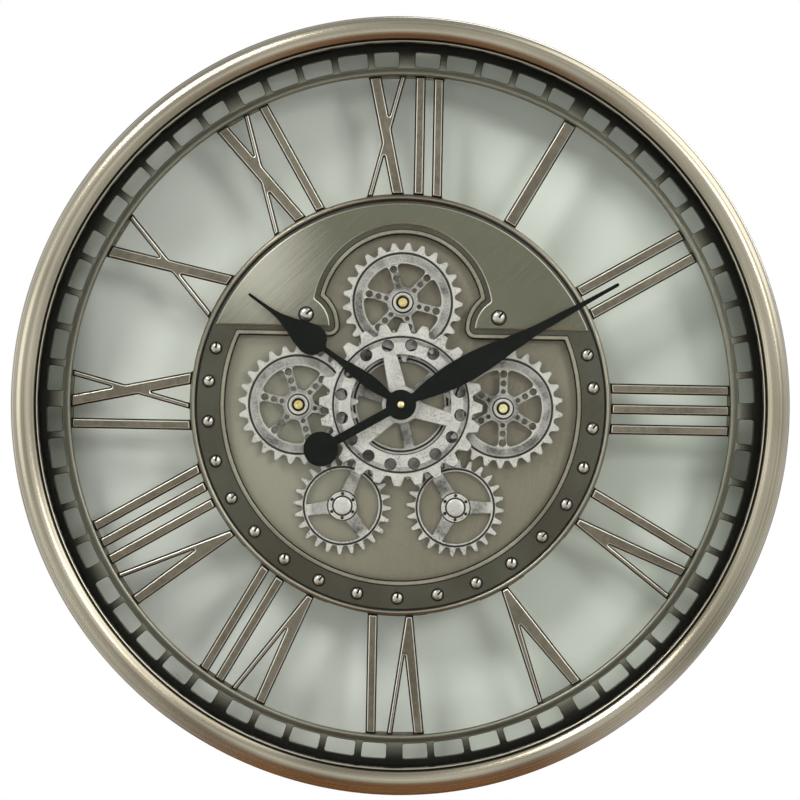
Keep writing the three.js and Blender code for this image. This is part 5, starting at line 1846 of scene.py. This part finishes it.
@dataclass
class Hands(SubAssembly):
    """The two black hands and the brass cap that holds them."""

    hour_at: float = 145.0
    minute_at: float = 30.0
    boss_r: float = 10.0
    tail: Point = (60.4, 11.5)
    stem: float = 2.95
    blade_t: float = 1.2
    blade_edge: tuple[Point, ...] = ((0.25, 0.25),)
    cap_r: float = 2.4
    spacing: float = 0.8
    hour_side: tuple[Point, ...] = (
        (6.0, 2.6), (10.6, 2.8), (18.6, 4.0), (26.5, 4.6), (34.5, 4.0), (42.5, 3.1), (46.5, 2.4), (54.0, 1.8),
        (62.0, 1.8), (63.6, 3.2), (65.0, 6.4), (67.0, 8.5), (70.4, 9.8), (74.0, 10.3), (78.0, 9.3), (82.0, 8.2),
        (86.0, 6.6), (90.0, 5.0), (94.0, 3.9), (98.0, 2.6), (102.0, 1.9), (108.0, 1.3), (118.0, 1.0), (123.6, 0.9),
        (124.6, 0.5),
    )
    minute_side: tuple[Point, ...] = (
        (6.0, 2.95), (11.0, 3.2), (15.0, 4.3), (23.0, 6.0), (31.0, 7.3), (39.0, 8.3), (51.0, 8.6), (63.0, 8.0),
        (71.0, 7.1), (83.0, 5.3), (91.0, 4.5), (99.0, 3.5), (107.0, 2.9), (119.0, 2.6), (131.0, 2.0), (143.0, 1.5),
        (158.0, 1.2), (163.5, 1.15), (164.7, 0.6),
    )

    def build(self) -> None:
        """Builds the hour hand, the minute hand and the cap."""
        self._hour()
        self._minute()
        back, crown = levels("hand_cap")
        crest = dome(self.cap_r, back + 0.3, crown - back - 0.3, 9)
        profile = [(0.0, back), (self.cap_r, back), *crest, (0.0, crown)]
        cap = self.bench.lathe("brass_cap", profile, 32, run=Run.SOLID)
        self.settle(cap, Body.MINUTE, Slot.ARBOR_BRASS, BRASS, "hand_cap")

    @staticmethod
    def _side(stations: Sequence[Point], x: float) -> float:
        """Half the width of a hand, curved smoothly through its stations.

        Args:
            stations: Distances along the hand, each with half its width there.
            x: A distance along the hand.

        Returns:
            Half the width there, 0 before the first station and after the last one.
        """
        if not stations[0][0] <= x <= stations[-1][0]:
            return 0.0
        i = max(k for k in range(len(stations) - 1) if stations[k][0] <= x)
        (x0, y0), (x1, y1) = stations[i], stations[i + 1]

        def rise(k: int) -> float:
            """The slope from a station to the next one."""
            return (stations[k + 1][1] - stations[k][1]) / (stations[k + 1][0] - stations[k][0])

        def slope(k: int) -> float:
            """The side's slope at a station, flat at the first one and where the side turns."""
            before, after = rise(max(k - 1, 0)), rise(min(k, len(stations) - 2))
            return 0.0 if k == 0 or before * after <= 0 else 2 * before * after / (before + after)

        width = x1 - x0
        t = (x - x0) / width
        return ((2 * t**3 - 3 * t**2 + 1) * y0 + (t**3 - 2 * t**2 + t) * width * slope(i)
                + (3 * t**2 - 2 * t**3) * y1 + (t**3 - t**2) * width * slope(i + 1))

    def _outline(self, start: float, end: float, half: Callable[[float], float]) -> Outline:
        """Both sides of a hand along +x.

        Args:
            start: Where it begins.
            end: Where its point is.
            half: Half its width at a distance.

        Returns:
            The outline.
        """
        count = int((end - start) / self.spacing)
        stops = [start + (end - start) * (0.5 - 0.5 * math.cos(math.pi * i / count)) for i in range(1, count)]
        lower = [(x, -half(x)) for x in stops]
        return [(start, 0.0), *lower, (end, 0.0), *[(x, -y) for x, y in reversed(lower)]]

    @staticmethod
    def _round(x: float, centre: float, radius: float) -> float:
        """Half the width of a disc at a distance."""
        return math.sqrt(max(0.0, radius**2 - (x - centre) ** 2))

    def _hour(self) -> None:
        """The spade hand on its tube."""
        tube_back, front = levels("hour_hand")
        back = front - self.blade_t
        outline = self._outline(
            -self.boss_r, self.hour_side[-1][0],
            lambda x: max(self._round(x, 0.0, self.boss_r), self._side(self.hour_side, x)),
        )
        outline = turned(outline, self.hour_at)
        blade = self.bench.plate("hour_blade", outline, back, front, [circle(2.0, 24)], self.blade_edge)
        profile = [(2.1, tube_back), (3.1, tube_back), (3.1, back + 0.2), (2.1, back + 0.2)]
        tube = self.bench.lathe("tube", profile, 32)
        profile = [
            (2.1, front - 0.2), (5.4, front - 0.2), (5.4, front + 0.7), (4.9, front + 1.0), (2.1, front + 1.0),
        ]
        collet = self.bench.lathe("collet", profile, 40)
        piece = self.bench.join("hour_blade", [blade, tube, collet])
        self.settle(piece, Body.HOUR, Slot.HAND_BLACK, HAND_BLACK, "hour_hand")

    def _minute(self) -> None:
        """The long leaf hand with its round tail, on its arbor."""
        arbor_back, front = levels("minute_hand")
        back = front - self.blade_t
        reach, disc = self.tail

        def half(x: float) -> float:
            """Half the hand's width at a distance."""
            rounds = max(self._round(x, -reach, disc), self._round(x, 0.0, self.boss_r - 0.4))
            return max(self.stem if -reach <= x <= 8 else 0.0, rounds, self._side(self.minute_side, x))

        outline = turned(self._outline(-reach - disc, self.minute_side[-1][0], half), self.minute_at)
        blade = self.bench.plate("minute_blade", outline, back, front, (), self.blade_edge)
        profile = [
            (0.0, arbor_back), (1.5, arbor_back), (1.8, arbor_back + 0.3), (1.8, back + 0.2), (0.0, back + 0.2),
        ]
        arbor = self.bench.lathe("arbor", profile, 24, run=Run.SOLID)
        piece = self.bench.join("minute_blade", [blade, arbor])
        self.settle(piece, Body.MINUTE, Slot.HAND_BLACK, HAND_BLACK, "minute_hand")


@dataclass
class RearWorks(SubAssembly):
    """What shows from behind: cover, cells, setting knob, switch, screws and hanger."""

    cover_r: float = 100.0
    cover_wall: float = 2.6
    cover_t: float = 3.4
    cell_half: float = 25.0
    cell_r: float = 7.0
    cell_y: Point = (16.0, -72.0)
    knob_y: float = -16.0
    post_r: float = 88.4
    post_angles: tuple[float, ...] = (40.0, 140.0, -43.0, 223.0)
    hanger_r: Point = (5.0, 2.4)
    key_rise: float = 6.5
    dimple: Point = (15.0, 1.6)
    cell_hole: Point = (25.3, 7.3)
    knob_hole_r: float = 9.2
    post_hole_r: float = 4.4
    slack: float = 0.3
    travel: float = 4.0
    knob_ribs: int = 36
    knob_r: Point = (7.55, 8.0)
    rib_half: Point = (2.6, 1.6)
    pan_roll: float = 2.4
    ridge_half: float = 0.45
    ridge_at: Trio = (0.2, 0.5, 0.8)
    facets: int = 160

    def build(self) -> None:
        """Builds the rear pieces and dresses the works inside."""
        self._cover()
        self._cells()
        self._knob()
        self._switch()
        self._cover_screws()
        self._hanger()
        self.dress(WORKS_GREY, "train_plate", "quartz_movement", "battery_tray")
        self.dress(BRIGHT_STEEL, "gear_motor")
        self.dress(BRASS, "bush_nut")
        self.dress(WORKS_WHITE, "motor_pinion")

    def _posts(self) -> Outline:
        """Places of the cover's four screws."""
        return [polar(self.post_r, angle) for angle in self.post_angles]

    @staticmethod
    def _box(left: float, right: float, low: float, high: float) -> Outline:
        """An upright rectangle."""
        return [(left, low), (right, low), (right, high), (left, high)]

    def _cover(self) -> None:
        """The moulded pan: a stepped back with its openings, a rounded wall and the screws' seats."""
        _, front = levels("rear_cover")
        low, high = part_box("gear_switch")
        slack = self.slack
        x0, x1 = low.x / MM - slack, high.x / MM + (self.travel + slack)
        y0, y1 = low.z / MM - slack, high.z / MM + slack
        wide, tall = self.cell_hole
        holes = [eased(self._box(-wide, wide, y - tall, y + tall), 1.2) for y in self.cell_y]
        holes.append(circle(self.knob_hole_r, 48, (0.0, self.knob_y)))
        holes.append(eased(self._box(x0, x1, y0, y1), 0.6))
        holes.extend(circle(self.post_hole_r, 28, place) for place in self._posts())
        inside = self.cover_r - self.cover_wall
        inner, outer = circle(inside - 3.0, self.facets), circle(inside + 0.4, self.facets)
        back = self.bench.plate("rear_back", outer, 0.9, self.cover_t, holes, ((0.3, 0.3),))
        face = self.bench.plate("rear_face", inner, 0.0, 1.2, holes, ((0.1, 0.1),))
        wall = [
            (inside - 0.2, 0.9), *arc(self.pan_roll, -90, 0, 8, (self.cover_r - self.pan_roll, self.pan_roll)),
            (self.cover_r, front - 0.4), (self.cover_r - 0.4, front), (inside, front), (inside, 3.0),
        ]
        drum = self.bench.lathe("rear_wall", wall, self.facets)
        seat = [(2.2, 1.9), (4.6, 1.9), (4.6, 3.3), (2.2, 3.3)]
        seats = self.bench.spread(self.bench.lathe("seat", seat, 28), [moved(*place) for place in self._posts()])
        piece = self.bench.join("rear_pan", [back, face, drum, *seats])
        self.settle(piece, Body.CASE, Slot.WORKS_GREY, WORKS_GREY, "rear_cover")

    def _cells(self) -> None:
        """Two round cells with a stepped button end."""
        half, radius = self.cell_half, self.cell_r
        profile = [
            (-half, 0.0), (-half, radius * 0.62), (-half + 0.5, radius * 0.66), (-half + 0.5, radius - 0.9),
            (-half + 0.2, radius - 0.5), (-half + 0.6, radius), (half - 2.4, radius), (half - 2.0, radius - 0.5),
            (half - 2.2, radius - 1.0), (half - 2.2, 2.9), (half - 0.3, 2.7), (half, 2.3), (half, 0.0),
        ]
        finish = CellWrap(
            "cell_printed", tone(70, 112, 80), tone(196, 160, 92), rough=0.3, metal=0.05, ends=(-half, half - 1.6),
            metal_tone=tone(214, 212, 204), band=0.3,
        )
        for name, y in zip(("movement", "motor"), self.cell_y):
            low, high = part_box(f"{name}_cell")
            level = -(low.y + high.y) / 2 / MM
            cell = self.bench.lathe(f"{name}_dry_cell", profile, 48, (y, level), Run.SOLID, Axis.ACROSS)
            self.settle(cell, Body.CASE, Slot.CELL_WRAP, finish, f"{name}_cell")

    def _knob(self) -> None:
        """The ribbed time-setting wheel, with a dished back and its stem."""
        back, front = levels("time_set_knob")
        top = back + 3.6
        low, high = self.knob_r
        foot, tip = self.rib_half
        ribs = []
        for i in range(self.knob_ribs):
            at = i * 360 / self.knob_ribs
            ribs += [polar(low, at - foot), polar(high, at - tip), polar(high, at + tip), polar(low, at + foot)]
        rim = self.bench.plate("rim", ribs, back + 0.3, top, [circle(5.6, 40)], ((0.3, 0.3),))
        dish = [
            (0.0, back + 1.3), (2.2, back + 1.3), (2.6, back + 0.5), (5.2, back + 0.5), (5.6, back), (7.2, back),
            (7.5, back + 0.4), (7.5, top - 0.3), (2.0, top - 0.3), (2.0, front), (0.0, front),
        ]
        body = self.bench.lathe("dish", dish, 72, run=Run.SOLID)
        knob = self.bench.join("set_wheel", [rim, body])
        knob.data.transform(moved(0.0, self.knob_y))
        self.settle(knob, Body.KNOB, Slot.WORKS_GREY, KNOB_GREY, "time_set_knob")

    def _switch(self) -> None:
        """The slider of the gear switch, with three grip ridges."""
        low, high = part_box("gear_switch")
        x0, x1, y0, y1 = low.x / MM, high.x / MM, low.z / MM, high.z / MM
        back, front = levels("gear_switch")
        slider = eased(self._box(x0, x1, y0, y1), 0.5)
        parts = [self.bench.plate("slider", slider, back + 0.5, front)]
        ridge = eased(self._box(-self.ridge_half, self.ridge_half, y0 + 0.2, y1 - 0.2), 0.2)
        model = self.bench.plate("ridge", ridge, back, back + 1.0, (), ((0.1, 0.1),))
        parts += self.bench.spread(model, [moved(x0 + (x1 - x0) * share, 0.0) for share in self.ridge_at])
        piece = self.bench.join("switch_slider", parts)
        self.settle(piece, Body.SWITCH, Slot.BLACK_PLASTIC, BLACK_TRIM, "gear_switch")

    def _cover_screws(self) -> None:
        """Four cross-recessed screws, copied from one."""
        back, front = levels("cover_screw_1")
        profile = [
            (0.0, back), (2.2, back), (3.1, back + 0.25), (3.5, back + 0.7), (3.5, back + 1.2), (1.6, back + 1.2),
            (1.6, front - 1.4), (0.6, front), (0.0, front),
        ]
        model = self.bench.lathe("rear_screw", profile, 32, run=Run.SOLID)
        arm, half = 2.0, 0.4
        cross = [
            (-half, -arm), (half, -arm), (half, -half), (arm, -half), (arm, half), (half, half),
            (half, arm), (-half, arm), (-half, half), (-arm, half), (-arm, -half), (-half, -half),
        ]
        tool = self.bench.plate("cross", cross, back - 0.5, back + 0.8, (), ((0.05, 0.05),))
        spots = [moved(*place, 23.0 * i) for i, place in enumerate(self._posts(), 1)]
        for i, screw in enumerate(self.bench.spread(self.bench.cut(model, tool), spots), 1):
            self.settle(screw, Body.CASE, Slot.STEEL, BRIGHT_STEEL, f"cover_screw_{i}")

    def _hanger(self) -> None:
        """The hanger plate with its keyhole and two dimples where it is welded on."""
        low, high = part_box("hanger_plate")
        back, front = levels("hanger_plate")
        x, y0, y1 = high.x / MM, low.z / MM, high.z / MM
        wide, narrow = self.hanger_r
        key = y0 + wide + narrow / 2
        foot = math.degrees(math.asin(narrow / wide))
        keyhole = arc(wide, 90 + foot, 450 - foot, 28, (0.0, key))
        keyhole += arc(narrow, 0, 180, 14, (0.0, key + self.key_rise))
        outline = eased(self._box(-x, x, y0, y1), 2.5)
        out, radius = self.dimple
        places = [(side * out, (y0 + y1) / 2) for side in (-1, 1)]
        dimples = [circle(radius, 20, place) for place in places]
        plate = self.bench.plate("keyhole_plate", outline, back, front, [keyhole, *dimples])
        weld = [(0.0, back + 0.5), (1.8, back + 0.5), (1.8, front - 0.3), (0.0, front - 0.3)]
        model = self.bench.lathe("weld", weld, 20, run=Run.SOLID)
        floors = self.bench.spread(model, [moved(*place) for place in places])
        piece = self.bench.join("keyhole_plate", [plate, *floors])
        self.settle(piece, Body.CASE, Slot.STEEL, BRIGHT_STEEL, "hanger_plate")


@dataclass(frozen=True)
class Lamp:
    """A square soft lamp: its name, its place and side in metres, and its power in watts."""

    name: str
    place: Trio
    size: float
    power: float


@dataclass
class Studio:
    """Camera, lamps, wall and floor."""

    lamps: tuple[Lamp, ...] = (
        Lamp("key_lamp", (-1.3, -1.7, 1.9), 0.9, 47.0),
        Lamp("side_lamp", (-2.0, -1.2, 0.1), 1.2, 7.0),
        Lamp("fill_lamp", (1.25, -1.9, 0.75), 0.7, 13.0),
        Lamp("rear_lamp", (0.8, 2.0, 1.2), 1.6, 26.0),
    )
    distance: float = 1.48
    below: float = 0.6
    left: float = 0.4
    roll: float = 1.08
    lens: float = 100.2
    aim: Trio = (-0.0006, -0.034, 0.0032)
    sensor: float = 36.0
    wall_r: float = 0.256
    wall_y: float = 0.0015
    wall_slope: Point = (0.6, 0.8)
    wall_cloud: float = 160.0
    wall_reach: float = 190.0
    shade_r: Point = (203.0, 233.0)
    shade_y: Point = (-170.0, 90.0)
    floor_z: float = -0.75
    floor_size: float = 5.0
    floor_white: float = 0.72
    floor_fade: Point = (0.9, 2.4)
    boards_x: Point = (620.0, 260.0)
    window: Trio = (0.72, -0.2, 0.66)
    window_edge: Point = (0.84, 0.92)
    ceiling: Point = (0.3, 0.85)
    room: tuple[float, float, float, float] = (0.43, 0.55, 1.0, 3.6)

    def build(self) -> None:
        """Sets up everything round the clock."""
        scene = bpy.context.scene
        scene.view_settings.view_transform = "Standard"
        self._camera(scene)
        self._lamps()
        self._world(scene)
        self._wall()
        self._floor()

    def _camera(self, scene: bpy.types.Scene) -> None:
        """A camera a little below and to the left of the dial's centre, rolled as it was held.

        Args:
            scene: The scene that gets it.
        """
        data = bpy.data.cameras.new("camera")
        data.lens, data.sensor_width = self.lens, self.sensor
        camera = bpy.data.objects.new("camera", data)
        scene.collection.objects.link(camera)
        side, fall = math.radians(self.left), math.radians(self.below)
        away = Vector((-math.sin(side) * math.cos(fall), -math.cos(side) * math.cos(fall), -math.sin(fall)))
        aim = Vector(self.aim)
        camera.location = aim + away * self.distance
        camera.rotation_mode = "QUATERNION"
        look = (-away).to_track_quat("-Z", "Y")
        camera.rotation_quaternion = look @ Matrix.Rotation(math.radians(self.roll), 3, "Z").to_quaternion()
        scene.camera = camera

    def _lamps(self) -> None:
        """A soft key from the upper left, a weaker one on either side and one from behind."""
        for lamp in self.lamps:
            data = bpy.data.lights.new(lamp.name, "AREA")
            data.size, data.energy = lamp.size, lamp.power
            made = bpy.data.objects.new(lamp.name, data)
            bpy.context.scene.collection.objects.link(made)
            made.location = lamp.place
            made.rotation_mode = "QUATERNION"
            made.rotation_quaternion = (-Vector(lamp.place)).to_track_quat("-Z", "Y")

    def _world(self, scene: bpy.types.Scene) -> None:
        """White where it is seen, a room with a window where it is mirrored, and softer as light.

        Args:
            scene: The scene that gets the world.
        """
        world = scene.world = bpy.data.worlds.new("studio")
        graph = Graph(world)
        path = graph.node("ShaderNodeLightPath").outputs
        camera, mirror, glass = (
            Value(graph, path[ray]) for ray in ("Is Camera Ray", "Is Glossy Ray", "Is Transmission Ray")
        )
        x, y, z = graph.parts(graph.node("ShaderNodeTexCoord").outputs["Generated"])
        window = (x * self.window[0] + y * self.window[1] + z * self.window[2]).step(*self.window_edge)
        soft, dim, white, bright = (
            graph.node("ShaderNodeBackground", None, {"Color": (1.0, 1.0, 1.0, 1.0), "Strength": strength})
            for strength in self.room
        )
        room = graph.either(z.step(*self.ceiling) * mirror, white, dim)
        room = graph.either(window * mirror, room, bright)
        both = graph.either(camera.larger(mirror).larger(glass), soft, room)
        graph.node("ShaderNodeOutputWorld", None, {"Surface": both.outputs[0]})

    def _wall(self) -> None:
        """The patch of wall behind the dial, clear from behind and to the rear lamp, painted with light and shade.
        """
        Bench.clear()
        bpy.ops.mesh.primitive_circle_add(
            vertices=128, radius=self.wall_r, fill_type="NGON", location=(0, self.wall_y, 0),
            rotation=(math.pi / 2, 0, 0),
        )
        wall = bpy.context.object
        wall.name = "wall"
        graph = Coat("wall_paint")
        cloud = graph.noise(7.0, detail=3.0)
        # Painted light and shade: the wall is lighter to the lower left and darker to the upper right.
        slope = graph.across * self.wall_slope[0] + graph.up * self.wall_slope[1]
        slope = (slope + (cloud - 0.5) * self.wall_cloud).step(-self.wall_reach, self.wall_reach)
        paint = graph.mix(slope, tone(250, 255, 245), tone(229, 237, 223))
        # Painted shade near the case, at the top and the sides.
        shade = graph.radius().step(*self.shade_r) * graph.up.step(*self.shade_y)
        paint = graph.mix(shade, paint, tone(128, 134, 120))
        face = graph.node("ShaderNodeBsdfDiffuse", None, {"Color": paint})
        clear = graph.node("ShaderNodeBsdfTransparent")
        behind = Value(graph, graph.node("ShaderNodeNewGeometry").outputs["Backfacing"])
        behind = behind.larger(Value(graph, graph.node("ShaderNodeLightPath").outputs["Is Shadow Ray"]))
        both = graph.either(behind, face, clear)
        graph.node("ShaderNodeOutputMaterial", None, {"Surface": both.outputs[0]})
        wall.data.materials.append(graph.material)

    def _floor(self) -> None:
        """A wide pale floor below the clock, white to the camera and boarded where metal mirrors it."""
        Bench.clear()
        bpy.ops.mesh.primitive_plane_add(size=self.floor_size, location=(0, 0, self.floor_z))
        floor = bpy.context.object
        floor.name = "floor"
        graph = Coat("pale_floor")
        cloud = graph.noise(3.0)
        paint = graph.mix(cloud, tone(236, 236, 234), tone(242, 242, 240))
        face = graph.node("ShaderNodeBsdfDiffuse", None, {"Color": paint})
        white = graph.node("ShaderNodeEmission", None, {"Color": (1.0, 1.0, 1.0, 1.0), "Strength": 1.0})
        boards = graph.node("ShaderNodeEmission", None, {"Color": (*tone(168, 112, 58), 1.0), "Strength": 1.0})
        path = graph.node("ShaderNodeLightPath").outputs
        both = graph.either(Value(graph, path["Is Camera Ray"]) * self.floor_white, face, white)
        brown = abs(graph.across).step(*self.boards_x) * Value(graph, path["Is Glossy Ray"])
        both = graph.either(brown, both, boards)
        x, y, _ = graph.parts(graph.place)
        far = (x * x + y * y).root().step(*self.floor_fade)
        both = graph.either(far, both, graph.node("ShaderNodeBsdfTransparent"))
        graph.node("ShaderNodeOutputMaterial", None, {"Surface": both.outputs[0]})
        floor.data.materials.append(graph.material)


def main() -> None:
    """Builds the clock's sub-assemblies in order, then the set round it."""
    logging.basicConfig(level=logging.INFO, format="%(name)s: %(message)s")
    bench = Bench()
    for part in (CaseShell, OpenDial, CentreDisc, GearWork, Hands, RearWorks):
        part(bench).build()
        LOG.info("%s built", part.__name__)
    Studio().build()
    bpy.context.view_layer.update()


if __name__ == "__main__":
    main()
